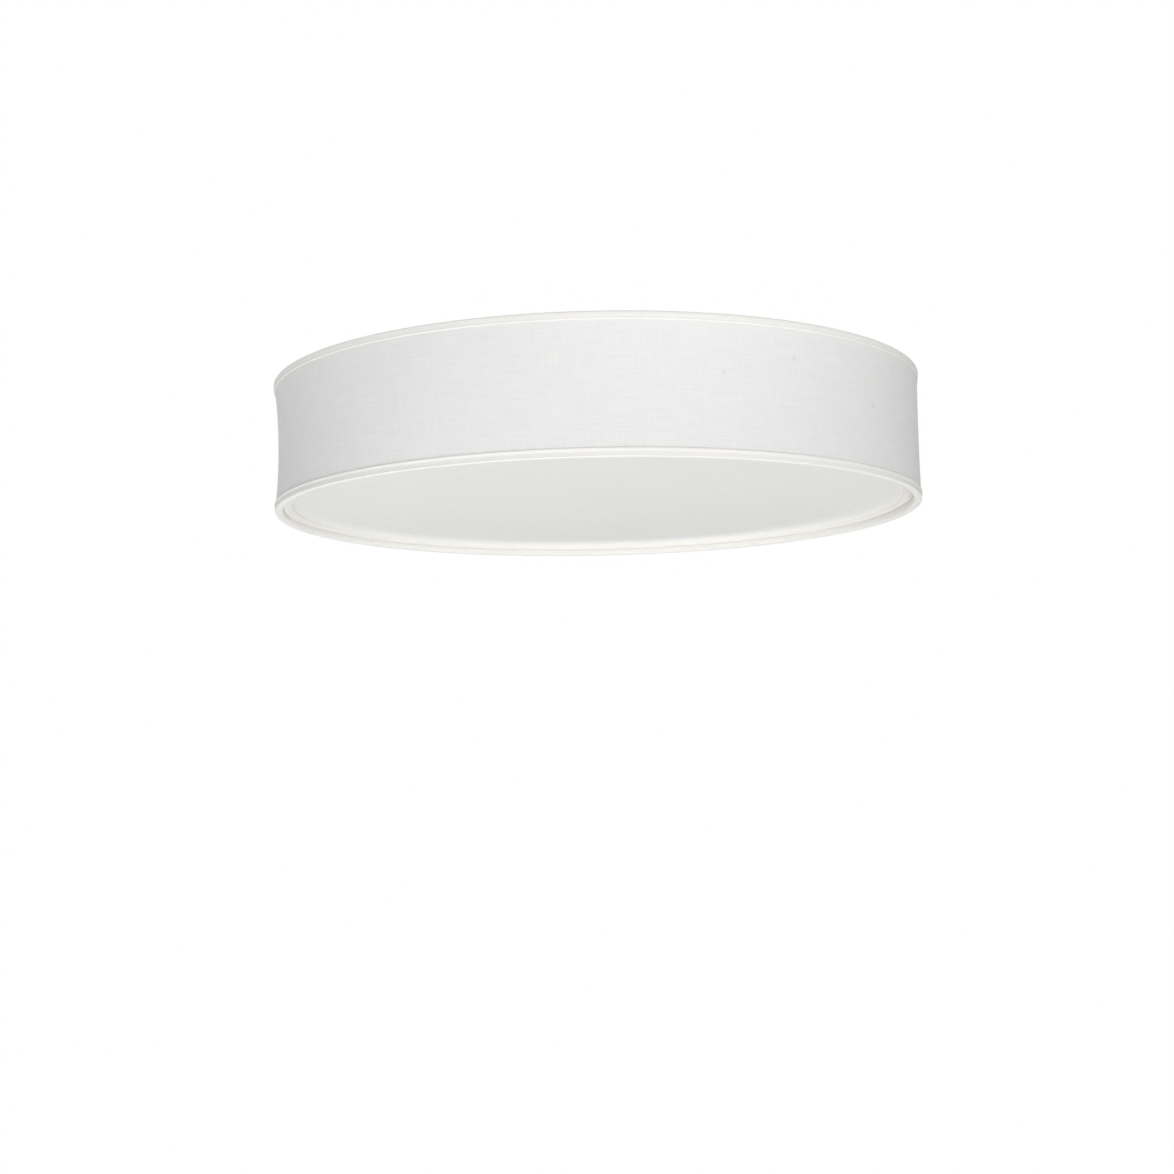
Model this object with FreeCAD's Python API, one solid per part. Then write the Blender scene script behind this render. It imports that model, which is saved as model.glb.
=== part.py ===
import FreeCAD, Part
import math
import os

# A round fabric drum light that fits flush to a ceiling. Millimetres, +Z up.
# The origin is the centre of the mounting bar's upper face, so the light hangs below z = 0.

V = FreeCAD.Vector
up = V(0, 0, 1)
outward = V(1, 0, 0)

# ---- driving sizes ------------------------------------------------------------------------

# shade
shade_d = 500.0            # over the bound rings
shade_h = 99.0             # over the bound rings
ceiling_gap = 1.0          # ceiling to the top binding
ring_wire = 4.0            # the rings' wire, drawn square where the tape hides it
drum_sides = 60            # flats of the large round pieces, one of them at each arm
fabric_t = 0.6
tape_t = 0.8
tape_corner = 1.2          # chamfer at the tape's fold
top_tape_h = 6.0
bottom_tape_h = 7.1
strut_d = 3.0

# spider arms and thumb screws
arm_count = 3
arm_d = 5.0
arm_bend_r = 8.0
arm_sides = 8
crank_clear = 10.0         # pan wall to the foot of the crank
crank_run = 17.0           # how far the crank slopes outwards
eyelet_d = 20.0
eyelet_t = 3.0
flatten_len = 12.0         # where the round arm flattens into its strap and eyelet
strap_w = 12.0
pad_clear = 0.5            # strap's flat part past the edge of the pad
thumb_d = 18.0
thumb_h = 8.0
thumb_flutes = 12
flute_depth = 0.8
thread_d = 5.0
thumb_seat_gap = 0.2
running_gap = 0.05         # radial gap of a screw that turns in its hole

# ceiling pan
pan_d = 270.0
pan_h = 20.0
pan_t = 1.0
pan_draft = 1.5
pan_corner = 6.0
pad_d = 26.0               # raised pads that the arms seat on
pad_h = 2.5
pad_inset = 30.0           # pan wall to the middle of a pad
clinch_nut_d = 10.0        # over its corners
clinch_nut_h = 5.0
thumb_end = 1.0            # how far a thumb screw stands out of its nut

# mounting bar and its studs
bar_w = 25.0
bar_t = 2.0
bar_drop = 5.0             # the ends are joggled down by this
bar_slope_run = 6.0
bar_end_len = 22.0
cable_hole_d = 16.0
slot_w = 5.0
slot_len = 20.0
slot_spacing = 100.0
stud_inset = 45.0          # pan wall to a stud
stud_d = 4.0
stud_head_d = 7.6
stud_head_h = 2.6
pan_nut_d = 12.0
pan_nut_h = 8.0
pan_nut_floor = 2.0        # the closed end of a cap nut

# lamp holders and brackets
lamp_count = 3
round_sides = 12           # flats of the small turned pieces
holder_back = 46.0         # centre of the light to a holder's back
holder_len = 50.0
holder_d = 39.0
holder_neck_d = 31.0
holder_neck_len = 16.0
holder_flare = 6.0
socket_gap = 0.4           # lamp cap to the socket's wall
socket_depth = 30.0
bracket_w = 24.0
bracket_t = 1.5
bracket_foot = 20.0
contact_w = 6.0
contact_t = 0.6
contact_foot = 9.0         # lamp's axis to the end of the spring's foot
contact_bend = 5.0
contact_nose = 2.0         # half the nose under the cap's tip
contact_rise = 3.5
tip_gap = 0.3              # contact spring to the cap's tip

# lamps
cap_d = 26.4
cap_len = 26.0             # tip to the housing
tip_d = 6.0
tip_len = 1.5
cap_cone = 3.5             # the cap's insulator, from the tip out to the thread
cap_cone_d = 15.8          # its narrow end
globe_d = 45.0
globe_t = 1.5
globe_bands = 4
bulb_len = 78.0
globe_step = 1.5           # globe's side stands this far past the housing's rim
housing_base_d = 27.6
housing_shoulder_d = 35.5  # halfway up the housing

# wiring
lead_d = 3.0
lead_sides = 4
lead_clear = 1.0           # lead to the edge of its hole in the bracket
lead_exit = 6.0            # straight run of a lead out of its block, lug or holder
lead_bend_r = 7.0
bend_steps = 4             # chords in each bend of a rod or lead
bend_share = 0.45          # most that a bend may take of the run beside it
lead_lift = 8.0            # height of the leads over the pan's floor
lead_circle_r = 3.0        # where the leads pass the grommet
grommet_d = 16.0
grommet_flange = 2.0
grommet_bore_d = 12.0
block_x = 52.0
block_w = 20.0
block_h = 12.0
block_base_h = 3.0
barrel_step = 1.0          # base's edge to the barrels' ends
pole_pitch = 11.0
pole_gap = 1.6             # between the raised barrels of the block
pole_count = 3
well_d = 4.4
well_depth = 2.0
earth_wire_d = 2.0
earth_run = 9.0            # block to the earth lead's first bend
earth_x = 66.0
earth_y = -50.0
earth_head_d = 8.0
earth_head_h = 2.4
earth_tail = 3.0           # earth screw under the pan's floor
lug_w = 8.0
lug_len = 14.0
lug_t = 0.8
grip_w = 4.0               # raised tail of the lug
grip_len = 5.0

# diffuser
hoop_gap = 2.6             # ring binding to hoop binding, all round
hoop_wire = 4.0
hoop_lift = 4.1            # shade's lower edge to the hoop binding's lower edge
disc_lift = 11.2           # shade's lower edge to the stretched disc
disc_t = 0.5
disc_slope = 6.0           # width of the sloping edge of the disc
hoop_lap = 1.1             # disc's edge to the binding on the hoop's inner side
keeper_w = 12.0
keeper_len = 5.6
keeper_inset = 1.0         # middle of the hoop's wire to the keeper's inner edge
keeper_t = 1.0
magnet_w = 8.0
magnet_h = 3.0
catch_t = 1.2
catch_leg_h = 12.0
catch_gap = 0.3            # magnet to keeper

# ---- places that follow from the sizes ------------------------------------------------------

shade_r = shade_d / 2
shade_top = -ceiling_gap
shade_bottom = shade_top - shade_h
cover_r = shade_r - tape_t - fabric_t          # inner face of the cover, outer side of the rings
ring_in = cover_r - ring_wire
bound_in = ring_in - tape_t
strut_r = cover_r - strut_d / 2
arm_angles = [360 / arm_count * i for i in range(arm_count)]

pan_r = pan_d / 2
pan_floor = -pan_h                             # underside of the floor
pan_inside = pan_floor + pan_t                 # upper side of the floor
pad_face = pan_floor - pad_h
screw_r = pan_r - pad_inset
eyelet_z = pad_face - eyelet_t / 2
bore_d = thread_d + 2 * running_gap
arm_z = shade_top - tape_t - ring_wire / 2

stud_y = pan_r - stud_inset
bar_half = stud_y - bar_end_len / 2 - bar_slope_run
tab_top = -bar_drop

hoop_out = bound_in - hoop_gap - tape_t
hoop_in = hoop_out - hoop_wire
hoop_bottom = shade_bottom + hoop_lift + tape_t
hoop_top = hoop_bottom + hoop_wire
disc_z = shade_bottom + disc_lift
disc_edge_z = hoop_top - 2 * disc_t
magnet_z = hoop_top + keeper_t + catch_gap
catch_z = magnet_z + magnet_h
keeper_in = (hoop_in + hoop_out) / 2 - keeper_inset
keeper_out = keeper_in + keeper_len

lamp_z = (pan_floor + disc_z) / 2              # lamps hang halfway between pan and diffuser
lamp_angles = [180 / lamp_count + 360 / lamp_count * i for i in range(lamp_count)]
holder_mouth = holder_back + holder_len
socket_floor = holder_mouth - socket_depth
tip_x = socket_floor + contact_t + contact_rise + tip_gap
cap_end = tip_x + cap_len
globe_x = tip_x + bulb_len - globe_d / 2
housing_top_d = globe_d - 2 * globe_step
neck_x = globe_x - math.sqrt(globe_d ** 2 - housing_top_d ** 2) / 2

block_in = block_x - block_w / 2
block_out = block_x + block_w / 2
barrel_in = block_in + barrel_step
barrel_out = block_out - barrel_step
block_top = pan_inside + block_h
poles = [pole_pitch * ((pole_count - 1) / 2 - i) for i in range(pole_count)]
lead_z = pan_inside + lead_lift
lug_end = earth_y + lug_len - lug_w / 2
earth_z = pan_inside + lug_t + earth_wire_d / 2


# ---- shared operations ----------------------------------------------------------------------

def closed(faces):
    shell = Part.makeShell(faces)
    shell.sewShape()
    solid = Part.makeSolid(shell)
    return solid if solid.Volume > 0 else solid.reversed()


def facet(corners):
    return Part.Face(Part.makePolygon([*corners, corners[0]]))


def lathe(points, sides):
    # turns a closed section, its corners given as (radius over flats, height), in flat facets
    def corner(point, i):
        turn = 2 * math.pi * (i + 0.5) / sides
        r = point[0] / math.cos(math.pi / sides)
        return V(r * math.cos(turn), r * math.sin(turn), point[1])

    faces = []
    for start, end in zip(points, points[1:] + points[:1]):
        if start[1] == end[1]:
            rims = [p for p in sorted((start, end), reverse=True) if p[0]]
            flats = [facet([corner(p, i) for i in range(sides)]) for p in rims]
            faces += flats[:1] if len(flats) < 2 else flats[0].cut(flats[1]).Faces
        elif start[0] or end[0]:
            for i in range(sides):
                quad = [corner(start, i), corner(start, i + 1), corner(end, i + 1), corner(end, i)]
                faces.append(facet([p for p, q in zip(quad, quad[1:] + quad[:1]) if not p.isEqual(q, 1e-6)]))
    return closed(faces)


def turned(*points):
    return lathe(list(points), drum_sides)


def turned_on_lamp(*points):
    # the lamp's axis runs outwards, and heights in the section are distances along it
    piece = lathe(list(points), round_sides)
    piece.rotate(V(), V(0, 1, 0), 90)
    piece.translate(V(0, 0, lamp_z))
    return piece


def at_angle(shape, angle):
    copy = shape.copy()
    copy.rotate(V(), up, angle)
    return copy


def around(shape, angles):
    return [at_angle(shape, angle) for angle in angles]


def rod(d, z0, z1, x=0, y=0):
    return Part.makeCylinder(d / 2, z1 - z0, V(x, y, z0), up)


def prism(d, z0, z1, sides, x=0, y=0, flute=0):
    # upright prism over its corners; with a flute every second corner is drawn in
    points = []
    for i in range(sides):
        turn = 2 * math.pi * i / sides
        r = d / 2 - (flute if i % 2 else 0)
        points.append(V(x + r * math.cos(turn), y + r * math.sin(turn), z0))
    return facet(points).extrude(V(0, 0, z1 - z0))


def pin(d, z0, z1, x=0, y=0):
    # a small pin, or the hole that it fills: d is over its flats
    return prism(d / math.cos(math.pi / round_sides), z0, z1, round_sides, x, y)


def block(x0, x1, y0, y1, z0, z1):
    return Part.makeBox(x1 - x0, y1 - y0, z1 - z0, V(x0, y0, z0))


def fused(*shapes):
    return shapes[0].fuse(list(shapes[1:])).removeSplitter()


def bent(points, radii):
    # points of a bent rod's line: its corners become arcs, and a radius of None is as large as the runs allow
    line = [points[0]]
    for before, corner, after, radius in zip(points, points[1:], points[2:], radii):
        back = before - corner
        ahead = after - corner
        half = back.getAngle(ahead) / 2
        if math.cos(half) < 1e-6:
            continue
        reach = bend_share * min(back.Length, ahead.Length)
        if radius:
            reach = min(reach, radius / math.tan(half))
        back.normalize()
        ahead.normalize()
        r = reach * math.tan(half)
        middle = corner + (back + ahead).normalize() * (r / math.sin(half))
        for i in range(bend_steps + 1):
            turn = (2 * i / bend_steps - 1) * (math.pi / 2 - half)
            inwards = (corner - middle).normalize()
            sideways = (ahead - back).normalize()
            line.append(middle + inwards * (r * math.cos(turn)) + sideways * (r * math.sin(turn)))
    return line + [points[-1]]


def section(centre, direction, d, sides, flat=None):
    # corners of a polygon across a direction, with a flat on top; flat gives it another height
    side = up.cross(direction)
    side = side.normalize() if side.Length > 1e-6 else V(0, 1, 0)
    rise = direction.cross(side).normalize()
    grow = 1 / math.cos(math.pi / sides)
    points = []
    for i in range(sides):
        turn = math.pi / 2 + 2 * math.pi * (i + 0.5) / sides
        across = side * (d / 2 * grow * math.cos(turn))
        points.append(centre + across + rise * ((flat or d) / 2 * grow * math.sin(turn)))
    return points


def rod_sections(points, d, radii, sides):
    # sections of a bent rod, mitred at every point of its line
    line = bent(points, radii)
    runs = [(q - p).normalize() for p, q in zip(line, line[1:])]
    sections = [section(line[0], runs[0], d, sides)]
    for point, run, after in zip(line[1:], runs, runs[1:] + runs[-1:]):
        normal = run + after
        sections.append([p + run * ((point - p).dot(normal) / run.dot(normal)) for p in sections[-1]])
    return sections


def skinned(sections):
    # solid through sections of as many corners; a facet that would twist becomes two triangles
    faces = [facet(sections[0]), facet(sections[-1])]
    for near, far in zip(sections, sections[1:]):
        for i in range(len(near)):
            a, b, c, e = near[i - 1], near[i], far[i], far[i - 1]
            flat = abs((b - a).cross(c - a).dot(e - a)) < 1e-6
            faces += [facet(corners) for corners in ([(a, b, c, e)] if flat else [(a, b, c), (a, c, e)])]
    return closed(faces)


def save(name, *shapes):
    shape = shapes[0] if len(shapes) == 1 else Part.makeCompound(list(shapes))
    shape.exportStep(f"parts/{name}.step")
    print(name, len(shape.Solids), round(shape.Volume, 1), shape.isValid())


os.makedirs("parts", exist_ok=True)


# ---- mounting bar, its studs and their cap nuts ----------------------------------------------

def make_bar():
    # side view along Y, with the ends joggled away from the ceiling, then pulled to width
    slope_end = bar_half + bar_slope_run
    bar_end = slope_end + bar_end_len
    upper = [(bar_half, 0), (slope_end, tab_top), (bar_end, tab_top)]
    lower = [(y, z - bar_t) for y, z in upper]
    right = upper + lower[::-1]
    left = [(-y, z) for y, z in right[::-1]]
    corners = [V(-bar_w / 2, y, z) for y, z in right + left]
    bar = facet(corners).extrude(V(bar_w, 0, 0))
    bar = bar.cut(rod(cable_hole_d, -bar_t, 0))
    straight = (slot_len - slot_w) / 2
    for side in (-1, 1):
        y = side * slot_spacing / 2
        ends = [rod(slot_w, -bar_t, 0, 0, y + end) for end in (-straight, straight)]
        middle = block(-slot_w / 2, slot_w / 2, y - straight, y + straight, -bar_t, 0)
        bar = bar.cut(fused(middle, *ends))
        bar = bar.cut(pin(stud_d, tab_top - bar_t, tab_top, 0, side * stud_y))
    return bar


def make_stud(y):
    head = prism(stud_head_d, tab_top, tab_top + stud_head_h, 6, 0, y)
    shank = pin(stud_d, pan_floor - pan_nut_h + pan_nut_floor, tab_top, 0, y)
    return fused(head, shank)


def make_pan_nut(y):
    nut = prism(pan_nut_d, pan_floor - pan_nut_h, pan_floor, round_sides, 0, y)
    return nut.cut(pin(stud_d, pan_floor - pan_nut_h + pan_nut_floor, pan_floor, 0, y))


save("mounting_bar", make_bar())
save("bar_studs", *[make_stud(side * stud_y) for side in (-1, 1)])
save("pan_nuts", *[make_pan_nut(side * stud_y) for side in (-1, 1)])


# ---- ceiling pan with its pads and clinch nuts -----------------------------------------------

def make_pan():
    foot = pan_r - pan_draft
    corner_z = pan_floor + pan_corner
    outside = [(0, pan_floor), (foot - pan_corner, pan_floor), (foot, corner_z), (pan_r, 0)]
    inside = [(pan_r - pan_t, 0), (foot - pan_t, corner_z), (foot - pan_corner, pan_inside), (0, pan_inside)]
    pads = around(prism(pad_d, pad_face, pan_floor, 2 * round_sides, screw_r), arm_angles)
    holes = around(pin(bore_d, pad_face, pan_inside, screw_r), arm_angles)
    holes += [pin(stud_d, pan_floor, pan_inside, 0, side * stud_y) for side in (-1, 1)]
    holes.append(prism(grommet_d, pan_floor, pan_inside, 2 * round_sides))
    holes.append(pin(stud_d, pan_floor, pan_inside, earth_x, earth_y))
    return fused(turned(*outside, *inside), *pads).cut(holes)


def make_clinch_nut():
    top = pan_inside + clinch_nut_h
    return prism(clinch_nut_d, pan_inside, top, 6, screw_r).cut(pin(bore_d, pan_inside, top, screw_r))


save("ceiling_pan", make_pan())
save("clinch_nuts", *around(make_clinch_nut(), arm_angles))


# ---- lamp holders, their brackets and the lamps -----------------------------------------------

def make_bracket():
    # angle welded under the pan, with a way for the lead behind the holder
    plate_in = holder_back - bracket_t
    plate_foot = lamp_z - holder_neck_d / 2
    half = bracket_w / 2
    foot = block(plate_in, holder_back + bracket_foot, -half, half, pan_floor - bracket_t, pan_floor)
    plate = block(plate_in, holder_back, -half, half, plate_foot, pan_floor)
    way_r = lead_d / 2 + lead_clear
    lead_way = turned_on_lamp((0, plate_in), (way_r, plate_in), (way_r, holder_back), (0, holder_back))
    return fused(foot, plate).cut(lead_way)


def make_holder():
    # narrow neck on the bracket and a flared skirt round the socket
    neck_end = holder_back + holder_neck_len
    socket_r = cap_d / 2 + socket_gap
    return turned_on_lamp((0, holder_back), (holder_neck_d / 2, holder_back), (holder_neck_d / 2, neck_end),
                          (holder_d / 2, neck_end + holder_flare), (holder_d / 2, holder_mouth),
                          (socket_r, holder_mouth), (socket_r, socket_floor), (0, socket_floor))


def make_contact():
    # bent spring strip, from its foot on the socket's floor to the nose under the cap's tip
    t = contact_t
    nose = tip_x - tip_gap
    front = [(socket_floor + t, -contact_foot), (socket_floor + t, -contact_bend),
             (nose, -contact_nose), (nose, contact_nose)]
    back = [(nose - t, contact_nose), (nose - t, t / 2 - contact_nose),
            (socket_floor, -contact_bend - t / 2), (socket_floor, -contact_foot)]
    corners = [V(x, -contact_w / 2, lamp_z + z) for x, z in front + back]
    return facet(corners).extrude(V(0, contact_w, 0))


def make_cap():
    cone_x = tip_x + tip_len
    shell = turned_on_lamp((0, cone_x), (cap_cone_d / 2, cone_x), (cap_d / 2, cone_x + cap_cone),
                           (cap_d / 2, cap_end), (0, cap_end))
    return fused(shell, Part.makeCylinder(tip_d / 2, tip_len, V(tip_x, 0, lamp_z), outward))


def make_housing():
    # bell shaped: it widens quickly from the cap and then runs up to the globe
    middle_x = (cap_end + neck_x) / 2
    return turned_on_lamp((0, cap_end), (housing_base_d / 2, cap_end), (housing_shoulder_d / 2, middle_x),
                          (housing_top_d / 2, neck_x), (0, neck_x))


def ball_section(r):
    # from the globe's neck to its pole, in equal steps of angle
    start = math.asin((neck_x - globe_x) / r)
    turns = [start + (math.pi / 2 - start) * i / globe_bands for i in range(globe_bands)]
    return [(r * math.cos(t), globe_x + r * math.sin(t)) for t in turns] + [(0, globe_x + r)]


def make_globe():
    inside = [(r, max(x, neck_x)) for r, x in ball_section(globe_d / 2 - globe_t)]
    return turned_on_lamp(*ball_section(globe_d / 2), *inside[::-1])


save("holder_contacts", *around(make_contact(), lamp_angles))
for number, angle in enumerate(lamp_angles, 1):
    save(f"lamp_bracket_{number}", at_angle(make_bracket(), angle))
    save(f"lamp_holder_{number}", at_angle(make_holder(), angle))
    save(f"bulb_cap_{number}", at_angle(make_cap(), angle))
    save(f"bulb_housing_{number}", at_angle(make_housing(), angle))
    save(f"bulb_globe_{number}", at_angle(make_globe(), angle))


# ---- terminal block, leads, grommet and earth --------------------------------------------------

def make_terminal_block():
    # a raised barrel for each pole on one base, each with two screw wells
    half = pole_pitch * pole_count / 2
    solid = block(block_in, block_out, -half, half, pan_inside, pan_inside + block_base_h)
    side = (pole_pitch - pole_gap) / 2
    barrels = [block(barrel_in, barrel_out, y - side, y + side, pan_inside, block_top) for y in poles]
    wells = [prism(well_d, block_top - well_depth, block_top, 8, x, y)
             for x in (block_x - block_w / 4, block_x + block_w / 4) for y in poles]
    return fused(solid, *barrels).cut(wells)


def lamp_lead(angle, pole_y):
    # from the block over the pan's floor, down through the grommet and out to the holder's back
    radial = V(math.cos(math.radians(angle)), math.sin(math.radians(angle)), 0)
    hole = radial * lead_circle_r
    points = [V(barrel_in, pole_y, lead_z), V(barrel_in - lead_exit, pole_y, lead_z),
              V(hole.x, hole.y, lead_z), V(hole.x, hole.y, lamp_z), radial * holder_back + V(0, 0, lamp_z)]
    return skinned(rod_sections(points, lead_d, [lead_bend_r, lead_bend_r, None], lead_sides))


def make_earth_wire():
    # out of the block, round to the lug and straight into its grip
    bend = V(barrel_out + earth_run, poles[-1], lead_z)
    middle = V(bend.x, (poles[-1] + lug_end) / 2, (lead_z + earth_z) / 2)
    points = [V(barrel_out, poles[-1], lead_z), bend, middle,
              V(earth_x, lug_end + lead_exit, earth_z), V(earth_x, lug_end, earth_z)]
    return skinned(rod_sections(points, earth_wire_d, [lead_bend_r, None, lead_bend_r], lead_sides))


def make_grommet():
    flange_d = grommet_d + 2 * grommet_flange
    top = pan_inside + pan_t
    foot = pan_floor - pan_t
    waist = prism(grommet_d, pan_floor, pan_inside, 2 * round_sides)
    flanges = [prism(flange_d, z, z + pan_t, 2 * round_sides) for z in (foot, pan_inside)]
    return fused(waist, *flanges).cut(rod(grommet_bore_d, foot, top))


def make_earth_screw():
    seat = pan_inside + lug_t
    head = prism(earth_head_d, seat, seat + earth_head_h, 6, earth_x, earth_y)
    return fused(head, pin(stud_d, pan_floor - earth_tail, seat, earth_x, earth_y))


def make_earth_lug():
    # flat lug under the screw's head, with a raised tail that grips the wire
    half = lug_w / 2
    side = grip_w / 2
    grip_top = pan_inside + earth_wire_d + lug_t
    plate = block(earth_x - half, earth_x + half, earth_y - half, lug_end, pan_inside, pan_inside + lug_t)
    grip = block(earth_x - side, earth_x + side, lug_end - grip_len, lug_end, pan_inside, grip_top)
    return fused(plate, grip).cut(pin(stud_d, pan_inside, pan_inside + lug_t, earth_x, earth_y))


save("terminal_block", make_terminal_block())
save("lamp_leads", *[lamp_lead(angle, y) for angle, y in zip(lamp_angles, poles)])
save("earth_wire", make_earth_wire())
save("wire_grommet", make_grommet())
save("earth_screw", make_earth_screw())
save("earth_lug", make_earth_lug())


# ---- shade frame: rings, struts, spider arms and thumb screws ---------------------------------

def wire_ring(inside, wire, z):
    return turned((inside, z), (inside + wire, z), (inside + wire, z + wire), (inside, z + wire))


def make_arm():
    # cranked round arm, flattened into an eyelet under its pad
    foot_x = pan_r + crank_clear
    flat_end = screw_r + pad_d / 2 + pad_clear
    taper_end = V(flat_end + flatten_len, 0, eyelet_z)
    points = [V(ring_in, 0, arm_z), V(foot_x + crank_run, 0, arm_z), V(foot_x, 0, eyelet_z), taper_end]
    strap = [section(V(x, 0, eyelet_z), -outward, strap_w, arm_sides, eyelet_t) for x in (flat_end, screw_r)]
    arm = skinned(rod_sections(points, arm_d, [arm_bend_r, arm_bend_r], arm_sides) + strap)
    eyelet = prism(eyelet_d, pad_face - eyelet_t, pad_face, round_sides, screw_r)
    return fused(eyelet, arm).cut(pin(bore_d, pad_face - eyelet_t, pad_face, screw_r))


def make_thumb_screw():
    seat = pad_face - eyelet_t - thumb_seat_gap
    head = prism(thumb_d, seat - thumb_h, seat, 2 * thumb_flutes, screw_r, 0, flute_depth)
    return fused(head, rod(thread_d, seat, pan_inside + clinch_nut_h + thumb_end, screw_r))


ring_top = shade_top - tape_t
ring_bottom = shade_bottom + tape_t
strut = prism(strut_d, ring_bottom + ring_wire, ring_top - ring_wire, 8, strut_r)
save("top_ring", wire_ring(ring_in, ring_wire, ring_top - ring_wire))
save("bottom_ring", wire_ring(ring_in, ring_wire, ring_bottom))
for number, angle in enumerate(arm_angles, 1):
    save(f"strut_{number}", at_angle(strut, angle))
    save(f"spider_arm_{number}", at_angle(make_arm(), angle))
    save(f"thumb_screw_{number}", at_angle(make_thumb_screw(), angle))


# ---- shade cover and its bindings -------------------------------------------------------------

def make_binding(edge_z, away, height):
    # folded tape round a ring; away is 1 where the cover rises from the ring and -1 where it falls
    bead = tape_t + ring_wire
    outline = [(shade_r - tape_t, height), (shade_r, height - tape_t), (shade_r, tape_corner),
               (shade_r - tape_corner, 0), (bound_in, 0), (bound_in, bead), (ring_in, bead),
               (ring_in, tape_t), (shade_r - tape_t, tape_t)]
    return turned(*[(r, edge_z + away * z) for r, z in outline])


notch_half = arm_d / 2 + tape_t
arm_notch = block(bound_in - tape_t, ring_in, -notch_half, notch_half, arm_z - arm_d, shade_top)
save("shade_cover", turned((cover_r, ring_bottom), (cover_r + fabric_t, ring_bottom),
                           (cover_r + fabric_t, ring_top), (cover_r, ring_top)))
save("top_binding", make_binding(shade_top, -1, top_tape_h).cut(around(arm_notch, arm_angles)))
save("bottom_binding", make_binding(shade_bottom, 1, bottom_tape_h))


# ---- diffuser: hoop, stretched disc, binding, keepers and the catches that hold it -------------

def make_disc():
    # flat disc with an edge that slopes down to the hoop
    flat_r = hoop_in - disc_slope
    return turned((0, disc_z), (flat_r, disc_z), (hoop_in, disc_edge_z), (hoop_in, disc_edge_z + disc_t),
                  (flat_r, disc_z + disc_t), (0, disc_z + disc_t))


def make_hoop_binding():
    # the tape leaves the hoop's top bare
    foot = hoop_bottom - tape_t
    lip = disc_edge_z - hoop_lap
    return turned((hoop_out, hoop_top), (hoop_out + tape_t, hoop_top), (hoop_out + tape_t, foot + tape_t),
                  (hoop_out, foot), (hoop_in - tape_t, foot), (hoop_in - tape_t, lip), (hoop_in, lip),
                  (hoop_in, hoop_bottom), (hoop_out, hoop_bottom))


def make_catch():
    # angle strip on a strut, with its short leg over the hoop
    back = strut_r - strut_d / 2
    half = keeper_w / 2
    leg = block(back - catch_t, back, -half, half, catch_z, catch_z + catch_leg_h)
    return fused(leg, block(keeper_in - catch_t, back, -half, half, catch_z, catch_z + catch_t))


keeper = block(keeper_in, keeper_out, -keeper_w / 2, keeper_w / 2, hoop_top, hoop_top + keeper_t)
magnet = block(keeper_in, keeper_out, -magnet_w / 2, magnet_w / 2, magnet_z, catch_z)
save("diffuser_hoop", wire_ring(hoop_in, hoop_wire, hoop_bottom))
save("diffuser_disc", make_disc())
save("diffuser_binding", make_hoop_binding())
save("hoop_keepers", *around(keeper, arm_angles))
save("catch_brackets", *around(make_catch(), arm_angles))
save("catch_magnets", *around(magnet, arm_angles))
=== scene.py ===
from functools import partial
from math import asin, copysign, cos, exp, hypot, pi, radians, sin, sqrt, tan
import bpy
import bmesh
from mathutils import Matrix, Vector, noise


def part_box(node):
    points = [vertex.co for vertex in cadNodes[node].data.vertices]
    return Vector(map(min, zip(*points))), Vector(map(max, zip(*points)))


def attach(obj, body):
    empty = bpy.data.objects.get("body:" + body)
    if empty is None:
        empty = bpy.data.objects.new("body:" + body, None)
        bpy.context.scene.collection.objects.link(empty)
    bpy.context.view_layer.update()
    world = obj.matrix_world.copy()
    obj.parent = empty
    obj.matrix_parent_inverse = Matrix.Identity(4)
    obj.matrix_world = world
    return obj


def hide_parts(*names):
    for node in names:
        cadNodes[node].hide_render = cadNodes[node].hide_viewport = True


# A round fabric drum light for a ceiling, seen from a little below. Metres; the ceiling is at z = 0.

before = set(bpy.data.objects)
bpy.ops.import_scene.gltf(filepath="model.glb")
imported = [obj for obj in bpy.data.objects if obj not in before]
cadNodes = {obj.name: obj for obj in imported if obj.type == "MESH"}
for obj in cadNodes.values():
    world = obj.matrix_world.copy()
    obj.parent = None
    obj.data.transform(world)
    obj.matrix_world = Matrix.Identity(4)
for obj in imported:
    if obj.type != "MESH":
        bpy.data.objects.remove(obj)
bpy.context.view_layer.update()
mm = 0.001
tiny = 1e-7
print("frame loaded:", len(cadNodes), "nodes")


def low(node):
    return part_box(node)[0]


def high(node):
    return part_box(node)[1]


def middle(node, axis=2):
    return (low(node)[axis] + high(node)[axis]) / 2


# sizes that come from the frame

fit = {"wire": 2 * mm, "underTape": 1.4 * mm, "overWire": 2.05 * mm, "clothUnder": 1.3 * mm,
       "grommetLip": 1 * mm}
shadeRadius = high("bottom_binding").x
shadeTop = high("top_binding").z
shadeBottom = low("bottom_binding").z
clothRadius = high("shade_cover").x  # outside of the cover, before it draws in
ringInner = shadeRadius - fit["underTape"] - 2 * fit["wire"]
ringMiddle = ringInner + fit["wire"]
topRingZ = middle("top_ring")
bottomRingZ = middle("bottom_ring")
hoopRadius = high("diffuser_hoop").x - fit["wire"]
hoopZ = middle("diffuser_hoop")
discZ = high("diffuser_disc").z - fit["clothUnder"]
armTurns = [radians(a) for a in (0, 120, 240)]
lampTurns = [radians(a) for a in (60, 180, 300)]
lampZ = middle("lamp_holder_2")
panFloorZ = low("wire_grommet").z + fit["grommetLip"]


# mesh making

creases = {"lofted": 40, "swept": 60, "turned": 32, "grown": 35}  # degrees past which an edge stays sharp


def polar(radius, turn, z=0.0):
    return Vector((radius * cos(turn), radius * sin(turn), z))


def evenTurns(count, first=0.0):
    return [first + 2 * pi * i / count for i in range(count)]


def linkObject(name, data):
    piece = bpy.data.objects.new(name, data)
    bpy.context.scene.collection.objects.link(piece)
    return piece


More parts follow.
